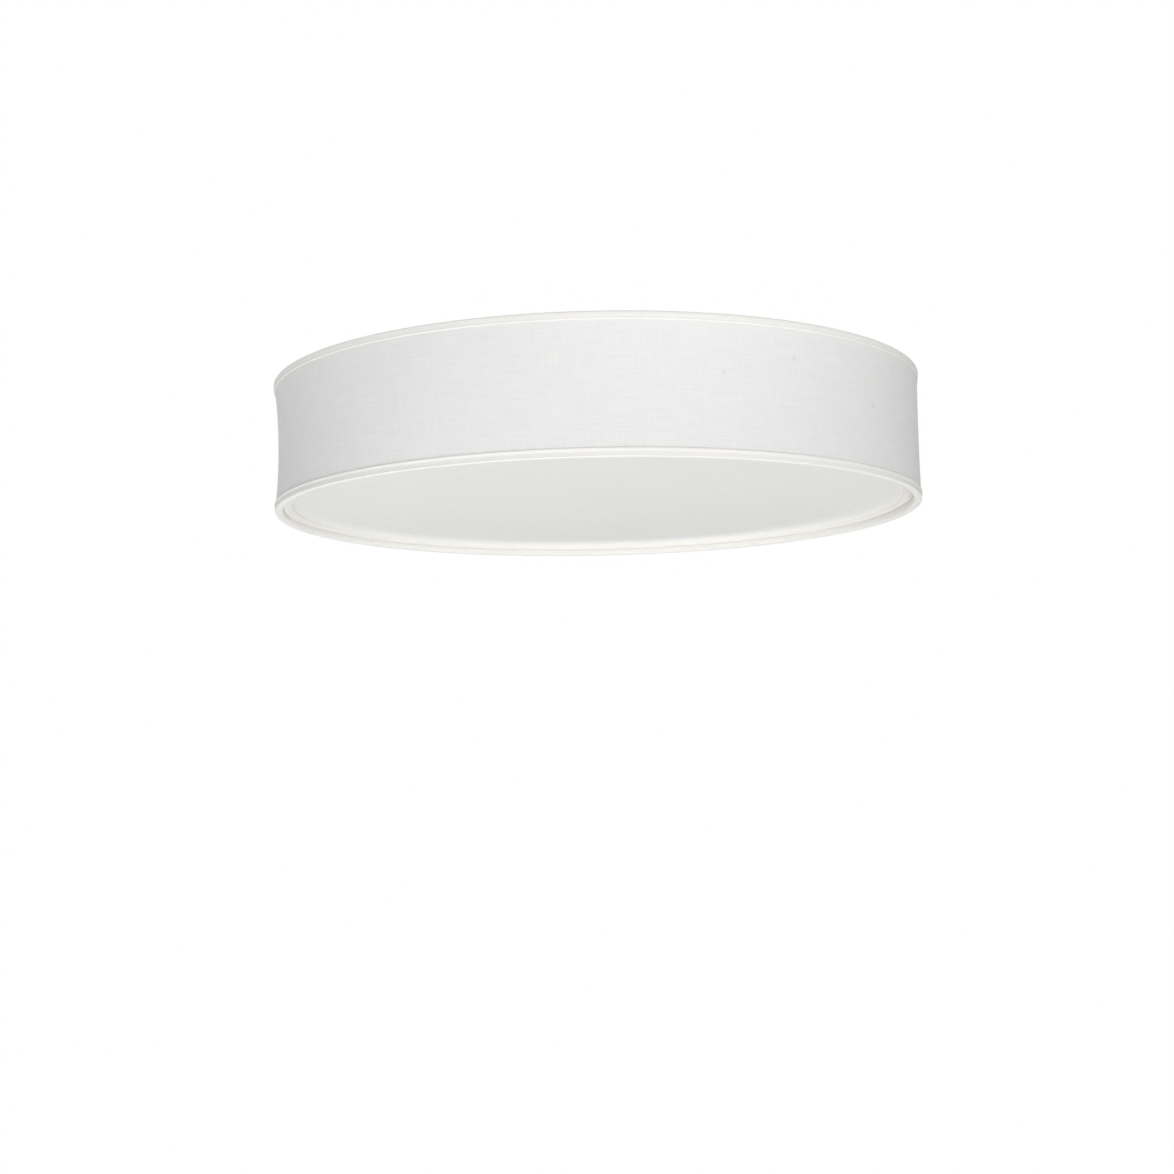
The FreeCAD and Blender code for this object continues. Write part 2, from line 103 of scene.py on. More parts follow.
def addPiece(name, points, faces, material, uvs=None, crease=creases["lofted"]):
    mesh = bpy.data.meshes.new(name)
    mesh.from_pydata([tuple(p) for p in points], [], faces)
    if uvs:
        layer = mesh.uv_layers.new(name="UVMap")
        layer.data.foreach_set("uv", [value for pair in uvs for value in pair])
    mesh.materials.append(material)
    mesh.validate()
    mesh.shade_smooth()
    mesh.set_sharp_from_angle(angle=radians(crease))
    return linkObject(name, mesh)


def settle(piece, body, node):
    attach(piece, body)
    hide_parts(node)


def joinPieces(name, pieces):
    # several meshes into the first one's object
    joined = bmesh.new()
    for piece in pieces:
        joined.from_mesh(piece.data)
    keeper = pieces[0]
    joined.to_mesh(keeper.data)
    joined.free()
    for piece in pieces[1:]:
        bpy.data.objects.remove(piece)
    keeper.name = name
    keeper.data.name = name
    return keeper


def loopArea(section):
    return sum(a[0] * b[1] - b[0] * a[1] for a, b in zip(section, section[1:] + section[:1])) / 2


def sweepAround(name, sectionAt, columns, material, firstTurn=0.0):
    # a closed section (radius, height) for each turn about Z; UVs are metres along the turn and the section
    turns = evenTurns(columns, firstTurn)
    sections = [sectionAt(turn) for turn in turns]
    if loopArea(sections[0]) < 0:
        sections = [section[::-1] for section in sections]
    rows = len(sections[0])
    assert {len(section) for section in sections} == {rows}, name + " has sections that differ"
    points = [polar(r, turn, z) for turn, section in zip(turns, sections) for r, z in section]
    along = [0.0]
    for a, b in zip(sections[0], sections[0][1:] + sections[0][:1]):
        along.append(along[-1] + hypot(b[0] - a[0], b[1] - a[1]))
    step = 2 * pi * shadeRadius / columns
    faces, uvs = [], []
    for i in range(columns):
        following = (i + 1) % columns
        for j in range(rows):
            above = (j + 1) % rows
            faces.append((i * rows + j, following * rows + j, following * rows + above, i * rows + above))
            uvs += [(u * step, along[v]) for u, v in ((i, j), (i + 1, j), (i + 1, j + 1), (i, j + 1))]
    return addPiece(name, points, faces, material, uvs, creases["swept"])


def turnedPiece(name, outline, columns, material, place=None, ripple=None, planarUv=False):
    # solid of revolution about Z from an outline (radius, height); points on the axis become poles
    if loopArea(outline) < 0:
        outline = outline[::-1]
    points, rings = [], []
    for r, z in outline:
        if r < tiny:
            rings.append([len(points)] * columns)
            points.append(Vector((0, 0, z)))
            continue
        rings.append(list(range(len(points), len(points) + columns)))
        for turn in evenTurns(columns):
            reach, height = ripple(turn, r, z) if ripple else (r, z)
            points.append(polar(reach, turn, height))
    faces = []
    for here, above in zip(rings, rings[1:] + rings[:1]):
        if here[0] == here[1] and above[0] == above[1]:
            continue
        for i in range(columns):
            following = (i + 1) % columns
            corners = (here[i], here[following], above[following], above[i])
            faces.append(tuple(dict.fromkeys(corners)))
    uvs = [(points[v].x, points[v].y) for face in faces for v in face] if planarUv else None
    if place:
        points = [place @ p for p in points]
    return addPiece(name, points, faces, material, uvs, creases["turned"])


def roundCorner(before, corner, after, radius, steps):
    # points of an arc that fits a corner, and takes up less than half of either side
    back, ahead = before - corner, after - corner
    half = back.angle(ahead) / 2
    reach = min(radius / tan(half), 0.49 * min(back.length, ahead.length))
    radius = reach * tan(half)
    hub = corner + (back.normalized() + ahead.normalized()).normalized() * (radius / sin(half))
    start = corner + back.normalized() * reach - hub
    end = corner + ahead.normalized() * reach - hub
    return [hub + start.slerp(end, k / steps) * radius for k in range(steps + 1)]


def softOutline(corners, steps=5):
    # corners are (radius, height, fillet); a fillet of 0 keeps the corner sharp
    outline = []
    spots = [Vector(corner[:2]) for corner in corners]
    for k, (r, z, fillet) in enumerate(corners):
        if fillet:
            after = spots[(k + 1) % len(spots)]
            outline += [tuple(p) for p in roundCorner(spots[k - 1], spots[k], after, fillet, steps)]
        else:
            outline.append((r, z))
    return outline


def loftPiece(name, rings, material):
    # joins rings of as many points, and closes both ends
    count = len(rings[0])
    points = [p for ring in rings for p in ring]
    faces = [tuple(reversed(range(count))), tuple(range(len(points) - count, len(points)))]
    for k in range(0, len(points) - count, count):
        for i in range(count):
            following = (i + 1) % count
            faces.append((k + i, k + following, k + count + following, k + count + i))
    piece = addPiece(name, points, faces, material)
    shell = bmesh.new()
    shell.from_mesh(piece.data)
    bmesh.ops.recalc_face_normals(shell, faces=shell.faces)
    shell.to_mesh(piece.data)
    shell.free()
    return piece


def lampPlace(turn):
    # a turned piece's heights become distances along the lamp's axis
    level = Matrix.Rotation(turn, 4, "Z") @ Matrix.Translation((0, 0, lampZ))
    return level @ Matrix.Rotation(pi / 2, 4, "Y")


def waver(turn, pace, seed):
    # smooth noise that closes after a full turn
    return noise.noise((cos(turn) * pace, sin(turn) * pace, seed))


def turnFrom(turn, centre):
    return (turn - centre + pi) % (2 * pi) - pi


def nearTurn(turn, centre, spread):
    # 1 at a turn, and down to 0 a few spreads away
    return exp(-(turnFrom(turn, centre) / spread) ** 2)


def smoothStep(value):
    value = min(max(value, 0), 1)
    return value * value * (3 - 2 * value)


# node building

def feed(tree, socket, value):
    # links a socket or sets a value
    if isinstance(value, bpy.types.NodeSocket):
        tree.links.new(value, socket)
    elif value is not None:
        socket.default_value = value


def addNode(tree, kind, inputs=None, **settings):
    node = tree.nodes.new(kind)
    for key, value in settings.items():
        setattr(node, key, value)
    for key, value in (inputs or {}).items():
        feed(tree, node.inputs[key], value)
    return node


def mathNode(tree, operation, first, second=None):
    return addNode(tree, "ShaderNodeMath", {0: first, 1: second}, operation=operation).outputs[0]


def mixColour(tree, factor, first, second):
    return addNode(tree, "ShaderNodeMix", {0: factor, 6: first, 7: second}, data_type="RGBA").outputs[2]


def mapRange(tree, value, limits, **settings):
    names = ("From Min", "From Max", "To Min", "To Max")
    node = addNode(tree, "ShaderNodeMapRange", {"Value": value, **dict(zip(names, limits))}, **settings)
    return node.outputs[0]


def ownPlace(tree):
    return addNode(tree, "ShaderNodeTexCoord").outputs["Object"]


socketKinds = {float: "Float", int: "Float", tuple: "Vector"}


def startGroup(name, kind, inputs, outputs):
    # each socket has a first value, or else the name of its kind
    group = bpy.data.node_groups.new(name, kind)
    for direction, sockets in (("INPUT", inputs), ("OUTPUT", outputs)):
        for title, value in sockets.items():
            socketType = "NodeSocket" + socketKinds.get(type(value), value)
            socket = group.interface.new_socket(name=title, in_out=direction, socket_type=socketType)
            if type(value) in socketKinds:
                socket.default_value = value
    return group, addNode(group, "NodeGroupInput").outputs, addNode(group, "NodeGroupOutput").inputs


# materials

weave = {"pitch": 0.8 * mm, "slub": 0.5, "wanderScale": 260, "wander": 0.7, "roundness": 0.6, "arch": 0.5,
         "streaks": (((42, 820, 1), 0.58), ((640, 55, 1), 0.42)), "streakLimits": (0.36, 0.64, 0, 1),
         "knotScale": 13, "knotLimits": (0, 0.030, 1, 0), "knotPick": 0.62}


def makeWeaveGroup():
    # plain weave: warp and weft pass over each other in turn, with a few thick threads, and a mask of the low
    # spots between threads for painted shade
    sizes = {"Vector": "Vector", "Thread Pitch": weave["pitch"], "Slub Amount": weave["slub"]}
    masks = {name: "Float" for name in ("Height", "Gap Shadow", "Streak", "Knot")}
    group, entry, result = startGroup("linenWeave", "ShaderNodeTree", sizes, masks)
    place = entry["Vector"]

    def calc(operation, first, second=None):
        return mathNode(group, operation, first, second)

    def cloud(vector, scale, detail):
        inputs = {"Vector": vector, "Scale": scale, "Detail": detail}
        return addNode(group, "ShaderNodeTexNoise", inputs, noise_dimensions="2D").outputs["Fac"]

    split = addNode(group, "ShaderNodeSeparateXYZ", {0: place}).outputs
    drift = calc("MULTIPLY", calc("SUBTRACT", cloud(place, weave["wanderScale"], 1), 0.5), weave["wander"])
    crowns, cells = [], []
    for axis in (0, 1):
        thread = calc("ADD", calc("DIVIDE", split[axis], entry["Thread Pitch"]), drift)
        wave = calc("SINE", calc("MULTIPLY", calc("FRACT", thread), pi))
        crowns.append(calc("POWER", wave, weave["roundness"]))
        cells.append(calc("FLOOR", thread))
    over = calc("ABSOLUTE", calc("MODULO", calc("ADD", *cells), 2.0))
    lifted = []
    for own, other in (crowns, crowns[::-1]):
        arch = calc("ADD", calc("MULTIPLY", other, 1 - weave["arch"]), weave["arch"])
        lifted.append(calc("MULTIPLY", own, arch))
    under = calc("SUBTRACT", 1.0, over)
    woven = calc("ADD", calc("MULTIPLY", lifted[0], over), calc("MULTIPLY", lifted[1], under))
    drawn = []
    for stretch, share in weave["streaks"]:
        inputs = {"Vector": place, "Scale": stretch}
        squeezed = addNode(group, "ShaderNodeMapping", inputs, vector_type="POINT").outputs[0]
        drawn.append(calc("MULTIPLY", cloud(squeezed, 1, 2), share))
    streak = mapRange(group, calc("ADD", *drawn), weave["streakLimits"])
    inputs = {"Vector": place, "Scale": weave["knotScale"]}
    knots = addNode(group, "ShaderNodeTexVoronoi", inputs, voronoi_dimensions="2D").outputs
    spot = mapRange(group, knots["Distance"], weave["knotLimits"])
    pick = addNode(group, "ShaderNodeSeparateColor", {0: knots["Color"]}).outputs[0]
    feed(group, result["Height"], calc("ADD", woven, calc("MULTIPLY", streak, entry["Slub Amount"])))
    # painted shade: this mask is 1 where the threads dip lowest, and darkens the colour there
    feed(group, result["Gap Shadow"], calc("SUBTRACT", 1.0, woven))
    feed(group, result["Streak"], streak)
    feed(group, result["Knot"], calc("MULTIPLY", spot, calc("GREATER_THAN", pick, weave["knotPick"])))
    return group


plainLook = {"metal": 0.0, "coat": 0.0, "grainScale": 900, "stretch": (1, 1, 1), "bumpDepth": 0.05 * mm,
             "glossSpread": 0.07, "mottleScale": 55}


def makeGrainGroup():
    # fine surface grain with a slow mottle, for metal, plastic and enamel
    sizes = {"Vector": "Vector", "Grain Scale": plainLook["grainScale"], "Stretch": plainLook["stretch"]}
    masks = {"Height": "Float", "Mottle": "Float"}
    group, entry, result = startGroup("fineGrain", "ShaderNodeTree", sizes, masks)
    inputs = {0: entry["Vector"], 1: entry["Stretch"]}
    stretched = addNode(group, "ShaderNodeVectorMath", inputs, operation="MULTIPLY").outputs[0]
    grain = {"Vector": stretched, "Scale": entry["Grain Scale"], "Detail": 3}
    mottle = {"Vector": entry["Vector"], "Scale": plainLook["mottleScale"], "Detail": 4}
    for name, inputs in (("Height", grain), ("Mottle", mottle)):
        feed(group, result[name], addNode(group, "ShaderNodeTexNoise", inputs).outputs["Fac"])
    return group


weaveGroup = makeWeaveGroup()
grainGroup = makeGrainGroup()


def startMaterial(name, fixed):
    material = bpy.data.materials.new(name)
    material.use_nodes = True
    tree = material.node_tree
    shader = tree.nodes["Principled BSDF"]
    for key, value in fixed.items():
        shader.inputs[key].default_value = value
    return material, tree, shader


def addSurface(tree, shader, colour, height, strength, distance):
    bump = addNode(tree, "ShaderNodeBump", {"Strength": strength, "Distance": distance, "Height": height})
    feed(tree, shader.inputs["Base Color"], colour)
    feed(tree, shader.inputs["Normal"], bump.outputs[0])


def shade(colour, factor=1):
    return (colour[0] * factor, colour[1] * factor, colour[2] * factor, 1)


def clothMaterial(name, look):
    material, tree, shader = startMaterial(name, {
        "Roughness": look["roughness"], "Sheen Weight": look["sheen"], "Sheen Roughness": 0.5,
        "Specular IOR Level": 0.15})
    source = addNode(tree, "ShaderNodeUVMap", uv_map="UVMap").outputs[0]
    inputs = {"Vector": source, "Rotation": (0, 0, radians(look["bias"]))}
    turned = addNode(tree, "ShaderNodeMapping", inputs, vector_type="POINT").outputs[0]
    inputs = {"Vector": turned, "Thread Pitch": look["pitch"], "Slub Amount": look["slub"]}
    cloth = addNode(tree, "ShaderNodeGroup", inputs, node_tree=weaveGroup).outputs
    inputs = {"Vector": ownPlace(tree), "Scale": look["cloudScale"], "Detail": 5}
    cloud = addNode(tree, "ShaderNodeTexNoise", inputs).outputs["Fac"]
    dark, pale = shade(look["colour"], 1 - look["cloud"]), shade(look["colour"], 1 + look["cloud"])
    colour = mixColour(tree, cloud, dark, pale)
    plain = mathNode(tree, "SUBTRACT", 1.0, cloth["Streak"])
    # the gaps between threads get painted shade; streaks and knots are the cloth's own tone
    for mask, part in ((cloth["Gap Shadow"], "gap"), (plain, "streak"), (cloth["Knot"], "knot")):
        amount = mathNode(tree, "MULTIPLY", mask, look[part + "Shade"])
        colour = mixColour(tree, amount, colour, shade(look[part + "Colour"]))
    addSurface(tree, shader, colour, cloth["Height"], look["bump"], look["pitch"] / 4)
    return material


def hardMaterial(name, look):
    # enamel, plated metal and moulded plastic: a mottled colour, uneven gloss and a fine grain
    look = {**plainLook, **look}
    material, tree, shader = startMaterial(name, {"Metallic": look["metal"], "Coat Weight": look["coat"]})
    inputs = {"Vector": ownPlace(tree), "Grain Scale": look["grainScale"], "Stretch": look["stretch"]}
    grain = addNode(tree, "ShaderNodeGroup", inputs, node_tree=grainGroup).outputs
    dark = shade(look["colour"], 1 - look["mottle"])
    pale = shade(look["colour"], min(1 + look["mottle"], 1 / max(look["colour"])))
    colour = mixColour(tree, grain["Mottle"], dark, pale)
    limits = (0, 1, look["roughness"] - look["glossSpread"], look["roughness"] + look["glossSpread"])
    feed(tree, shader.inputs["Roughness"], mapRange(tree, grain["Mottle"], limits))
    addSurface(tree, shader, colour, grain["Height"], look["bump"], look["bumpDepth"])
    return material


# gapShade is how much painted shade darkens the gaps between threads, and gapColour is the colour of that
# painted shade
tapeLook = {"roughness": 0.9, "sheen": 0.03, "pitch": 0.42 * mm, "slub": 0.3, "bias": 0, "cloudScale": 26,
            "gapShade": 0.08, "streakShade": 0.08, "knotShade": 0.0, "knotColour": (0.5, 0.5, 0.5),
            "bump": 0.30}
# each gapColour below is painted shade between the threads; the other colours are the cloth's own
clothLooks = {
    "sideLinen": {
        "colour": (0.875, 0.875, 0.87), "roughness": 0.95, "sheen": 0.02, "pitch": 0.72 * mm, "slub": 0.5,
        "bias": 0, "cloud": 0.010, "cloudScale": 9, "gapShade": 0.10, "gapColour": (0.70, 0.69, 0.67),
        "streakShade": 0.17, "streakColour": (0.66, 0.66, 0.66), "knotShade": 0.30,
        "knotColour": (0.42, 0.42, 0.41), "bump": 0.35},
    "diffuserLinen": {
        "colour": (0.833, 0.832, 0.818), "roughness": 0.95, "sheen": 0.02, "pitch": 0.55 * mm, "slub": 0.4,
        "bias": 45, "cloud": 0.014, "cloudScale": 7, "gapShade": 0.07, "gapColour": (0.66, 0.66, 0.65),
        "streakShade": 0.15, "streakColour": (0.66, 0.66, 0.66), "knotShade": 0.24,
        "knotColour": (0.45, 0.45, 0.44), "bump": 0.22},
    "shadeTape": {**tapeLook, "colour": (0.868, 0.860, 0.834), "cloud": 0.010,
                  "gapColour": (0.76, 0.74, 0.68), "streakColour": (0.78, 0.76, 0.71)},
    "hoopTape": {**tapeLook, "colour": (0.855, 0.842, 0.808), "cloud": 0.012,
                 "gapColour": (0.78, 0.74, 0.66), "streakColour": (0.78, 0.74, 0.68)},
}
metalLook = {"metal": 1.0, "mottle": 0.05}
hardLooks = {
    "wireEnamel": {"colour": (0.86, 0.86, 0.85), "roughness": 0.38, "mottle": 0.03, "bump": 0.12,
                   "grainScale": 500},
    "panEnamel": {"colour": (0.87, 0.87, 0.86), "roughness": 0.42, "mottle": 0.03, "bump": 0.25,
                  "grainScale": 1400, "bumpDepth": 0.06 * mm},
    "zincSteel": {**metalLook, "colour": (0.66, 0.67, 0.66), "roughness": 0.36, "mottle": 0.14, "bump": 0.10,
                  "grainScale": 420, "stretch": (1, 6, 1)},
    "satinNickel": {**metalLook, "colour": (0.74, 0.72, 0.69), "roughness": 0.28, "bump": 0.06},
    "springBrass": {**metalLook, "colour": (0.80, 0.62, 0.33), "roughness": 0.30, "mottle": 0.12,
                    "bump": 0.08},
    "lampCapMetal": {**metalLook, "colour": (0.80, 0.80, 0.79), "roughness": 0.25, "mottle": 0.06,
                     "bump": 0.05},
    "magnetPlate": {**metalLook, "colour": (0.58, 0.58, 0.60), "roughness": 0.22, "bump": 0.04},
    "holderPlastic": {"colour": (0.82, 0.81, 0.77), "roughness": 0.48, "mottle": 0.03, "bump": 0.20},
    "lampHousing": {"colour": (0.88, 0.88, 0.86), "roughness": 0.35, "mottle": 0.02, "bump": 0.06,
                    "coat": 0.2},
    "lampOpal": {"colour": (0.93, 0.93, 0.915), "roughness": 0.30, "mottle": 0.015, "bump": 0.04},
    "blockNylon": {"colour": (0.80, 0.80, 0.76), "roughness": 0.50, "mottle": 0.04, "bump": 0.25},
    "leadSleeve": {"colour": (0.78, 0.77, 0.74), "roughness": 0.62, "mottle": 0.04, "bump": 0.30},
    "grommetRubber": {"colour": (0.035, 0.035, 0.036), "roughness": 0.68, "mottle": 0.15, "bump": 0.30},
}

earthLook = {"green": (0.08, 0.30, 0.06), "yellow": (0.80, 0.66, 0.05), "winding": 900, "stripeFrom": 0.2,
             "roughness": 0.55, "bump": 0.2}


def earthMaterial():
    # green sleeve with a yellow stripe that winds round it
    material, tree, shader = startMaterial("earthSleeve", {"Roughness": earthLook["roughness"]})
    place = ownPlace(tree)
    split = addNode(tree, "ShaderNodeSeparateXYZ", {0: place}).outputs
    winding = mathNode(tree, "MULTIPLY", mathNode(tree, "ADD", split[0], split[1]), earthLook["winding"])
    stripe = mathNode(tree, "GREATER_THAN", mathNode(tree, "SINE", winding), earthLook["stripeFrom"])
    colour = mixColour(tree, stripe, shade(earthLook["green"]), shade(earthLook["yellow"]))
    grain = addNode(tree, "ShaderNodeGroup", {"Vector": place}, node_tree=grainGroup).outputs
    addSurface(tree, shader, colour, grain["Height"], earthLook["bump"], plainLook["bumpDepth"])
    return material


looks = {name: clothMaterial(name, look) for name, look in clothLooks.items()}
looks.update({name: hardMaterial(name, look) for name, look in hardLooks.items()})
looks["earthSleeve"] = earthMaterial()
print("materials ready:", len(looks))


# geometry node trees

def startTree(name, sockets):
    given = {"Geometry": "Geometry", "Finish": "Material", **sockets}
    return startGroup(name, "GeometryNodeTree", given, {"Geometry": "Geometry"})


def endTree(tree, entry, result, geometry):
    realize = addNode(tree, "GeometryNodeRealizeInstances", {"Geometry": geometry})
    inputs = {"Geometry": realize.outputs[0], "Material": entry["Finish"]}
    feed(tree, result["Geometry"], addNode(tree, "GeometryNodeSetMaterial", inputs).outputs[0])
    return tree


def roundCurve(tree, corners, radius):
    inputs = {"Resolution": corners, "Radius": radius}
    return addNode(tree, "GeometryNodeCurvePrimitiveCircle", inputs).outputs[0]


def makeHoopTree():
    # a wire bent into a circle
    sizes = {"Hoop Radius": 0.2, "Wire Radius": fit["wire"], "Height": 0.0}
    tree, entry, result = startTree("hoopWire", sizes)
    line = roundCurve(tree, 240, entry["Hoop Radius"])
    section = roundCurve(tree, 14, entry["Wire Radius"])
    sweep = addNode(tree, "GeometryNodeCurveToMesh", {"Curve": line, "Profile Curve": section})
    height = addNode(tree, "ShaderNodeCombineXYZ", {"Z": entry["Height"]})
    inputs = {"Geometry": sweep.outputs[0], "Translation": height.outputs[0]}
    return endTree(tree, entry, result, addNode(tree, "GeometryNodeTransform", inputs).outputs[0])


def makeRodTree():
    # a round rod or sleeve along the object's own edges, with rounded bends
    tree, entry, result = startTree("bentRod", {"Rod Radius": 1.5 * mm, "Bend Radius": 6 * mm})
    line = addNode(tree, "GeometryNodeMeshToCurve", {"Mesh": entry["Geometry"]}).outputs[0]
    inputs = {"Curve": line, "Radius": entry["Bend Radius"], "Count": 10, "Limit Radius": True}
    bends = addNode(tree, "GeometryNodeFilletCurve", inputs, mode="POLY").outputs[0]
    inputs = {"Curve": bends, "Profile Curve": roundCurve(tree, 16, entry["Rod Radius"]), "Fill Caps": True}
    return endTree(tree, entry, result, addNode(tree, "GeometryNodeCurveToMesh", inputs).outputs[0])


def makeFastenerTree():
    # one head on each point of the object, turned to the point's own direction
    tree, entry, result = startTree("fasteners", {"Head": "Object", "Head Size": 1.0})
    head = addNode(tree, "GeometryNodeObjectInfo", {"Object": entry["Head"]}).outputs["Geometry"]
    facing = addNode(tree, "GeometryNodeInputNamedAttribute", {"Name": "facing"}, data_type="FLOAT_VECTOR")
    inputs = {"Vector": facing.outputs["Attribute"]}
    align = addNode(tree, "FunctionNodeAlignRotationToVector", inputs, axis="Z").outputs[0]
    inputs = {"Points": entry["Geometry"], "Instance": head, "Rotation": align, "Scale": entry["Head Size"]}
    return endTree(tree, entry, result, addNode(tree, "GeometryNodeInstanceOnPoints", inputs).outputs[0])


hoopTree, rodTree, fastenerTree = makeHoopTree(), makeRodTree(), makeFastenerTree()


def growPiece(name, points, edges, tree, values, facings=None):
    # runs a tree on a small mesh of points and edges, and keeps the result as a plain mesh
    seed = bpy.data.meshes.new(name + "Seed")
    seed.from_pydata([tuple(p) for p in points], edges, [])
    if facings:
        attribute = seed.attributes.new("facing", "FLOAT_VECTOR", "POINT")
        attribute.data.foreach_set("vector", [c for facing in facings for c in facing])
    piece = linkObject(name, seed)
    modifier = piece.modifiers.new("grow", "NODES")
    modifier.node_group = tree
    sockets = {item.name: item.identifier for item in tree.interface.items_tree if item.in_out == "INPUT"}
    for key, value in values.items():
        modifier[sockets[key]] = value
    bpy.context.view_layer.update()
    grown = bpy.data.meshes.new_from_object(piece.evaluated_get(bpy.context.evaluated_depsgraph_get()))
    piece.modifiers.remove(modifier)
    piece.data = grown
    grown.name = name
    grown.shade_smooth()
    grown.set_sharp_from_angle(angle=radians(creases["grown"]))
    return piece


# side cover: linen drawn tight between the rings

cover = {"cloth": 0.6 * mm, "drawIn": 3.1 * mm, "fullness": 0.85, "strutEase": 0.05, "wander": 0.05 * mm,
         "wanderPace": 7, "wanderRise": 25, "columns": 720, "rows": 26, "pastRing": 1.6 * mm,
         "seamTurn": radians(97), "seamLap": 12 * mm, "seamRamp": 0.6 * mm, "seamStep": 0.35 * mm,
         "cutHeight": 0.104, "cutLength": 1.58, "pinch": 0.45 * mm, "pinchAt": 7.0 * mm, "pinchRun": 7.0 * mm}


def coverRadius(turn, z):
    share = min(max((z - bottomRingZ) / (topRingZ - bottomRingZ), 0), 1)
    belly = (4 * share * (1 - share)) ** cover["fullness"]
    between = hypot(sin(1.5 * turn), cover["strutEase"]) - cover["strutEase"]  # 0 at each strut
    ripple = waver(turn, cover["wanderPace"], z * cover["wanderRise"]) * cover["wander"] * belly
    above = max(z - shadeBottom - cover["pinchAt"], 0) / cover["pinchRun"]
    pinch = cover["pinch"] * max(1 - above, 0) ** 1.5  # the lower tape's edge presses the cloth in
    return clothRadius - cover["drawIn"] * belly * between - pinch + ripple


def seamLift(turn):
    # the cover's end laps over its start at the back
    away = turnFrom(turn, cover["seamTurn"]) * shadeRadius
    ramp = cover["seamRamp"]
    edge = min(1.0, (away + ramp) / ramp, (cover["seamLap"] + ramp - away) / ramp)
    return cover["seamStep"] * max(edge, 0.0)


def coverSection(turn):
    floorZ, roofZ = bottomRingZ - cover["pastRing"], topRingZ + cover["pastRing"]
    levels = [floorZ + (roofZ - floorZ) * j / (cover["rows"] - 1) for j in range(cover["rows"])]
    outside = [(coverRadius(turn, z) + seamLift(turn), z) for z in levels]
    inside = [(coverRadius(turn, z) - cover["cloth"], z) for z in reversed(levels)]
    return outside + inside


sideCover = sweepAround("sideCover", coverSection, cover["columns"], looks["sideLinen"], cover["seamTurn"])
settle(sideCover, "shade", "shade_cover")
print("side cover ready")


# folded tapes on the two rings

shadeTapes = {
    "topTape": {"node": "top_binding", "ring": "top_ring", "edge": shadeTop, "away": -1,
                "height": 6.0 * mm, "hemAt": 0.8 * mm, "hemWidth": 0.55 * mm, "hemRise": 0.12 * mm,
                "hemSway": 0.25, "sway": 0.06 * mm, "valley": 0.50 * mm, "beadRun": 4.0 * mm,
                "beadRise": 1.2 * mm, "innerHeight": 4.8 * mm, "seed": 3.7, "cutWidth": 17 * mm,
                "lean": 0.0, "lift": 0.0, "sink": 0.0, "widen": 0.0},
    "bottomTape": {"node": "bottom_binding", "ring": "bottom_ring", "edge": shadeBottom, "away": 1,
                   "height": 7.0 * mm, "hemAt": 1.2 * mm, "hemWidth": 1.0 * mm, "hemRise": 0.68 * mm,
                   "hemSway": 0.18, "sway": 0.12 * mm, "valley": 0.42 * mm, "beadRun": 1.3 * mm,
                   "beadRise": 1.1 * mm, "innerHeight": 7.1 * mm, "seed": 8.2, "cutWidth": 18 * mm,
                   "lean": 0.35, "lift": 0.5, "sink": 0.45, "widen": 0.8},
}
bead = {"inner": ringInner - 0.8 * mm, "wireIn": 2.8 * mm, "columns": 600, "sway": 0.06 * mm,
        "swell": 0.7 * mm, "swellTurn": radians(185), "swellSpread": radians(38), "deepTurn": radians(200),
        "lowerInset": 0.5 * mm, "lowerTaper": 0.5 * mm, "lowerRound": 0.6 * mm, "faceRows": 18, "bendRows": 8,
        "edgeRound": 0.7 * mm, "edgeStart": 0.25, "backGap": 0.1 * mm, "wireRows": 12, "flare": 0.5 * mm,
        "clothGap": 0.03 * mm, "hemGap": 0.08 * mm}
# how the inner flap stands off the bore, as shares of its height and millimetres
innerFlap = ((0.3, -0.02), (0.6, 0.03), (0.85, 0.10), (0.97, 0.22), (1.0, 0.42))


def ringBore(turn):
    # inside of the lower tape, a little fuller on the left
    return bead["inner"] - bead["swell"] * nearTurn(turn, bead["swellTurn"], bead["swellSpread"])


def flapRise(tape, s, run, beadOut, turn):
    # how far the tape's face stands off the cover, s below its free edge
    deep = 0.5 + 0.5 * cos(turn - bead["deepTurn"])  # the groove is deeper on the left
    hem = tape["hemRise"] * (1 + tape["lean"] * deep + tape["lift"] * (1 - deep) ** 2)
    hem *= 1 + tape["hemSway"] * waver(turn, 9, tape["seed"])
    width = tape["hemWidth"] * (1 + tape["widen"] * (1 - deep))
    crown = hem * exp(-((s - tape["hemAt"]) / width) ** 2)
    groove = tape["valley"] * (1 - tape["sink"] * deep)
    groove += 0.5 * tape["sway"] * waver(turn, 8, tape["seed"] + 5)
    swell = (beadOut - clothRadius - groove) * smoothStep((s - run + tape["beadRun"]) / tape["beadRun"])
    rounding = sqrt(max(0.0, 1 - (1 - min(s / bead["edgeRound"], 1)) ** 2))
    return (crown + groove + swell) * (bead["edgeStart"] + (1 - bead["edgeStart"]) * rounding)


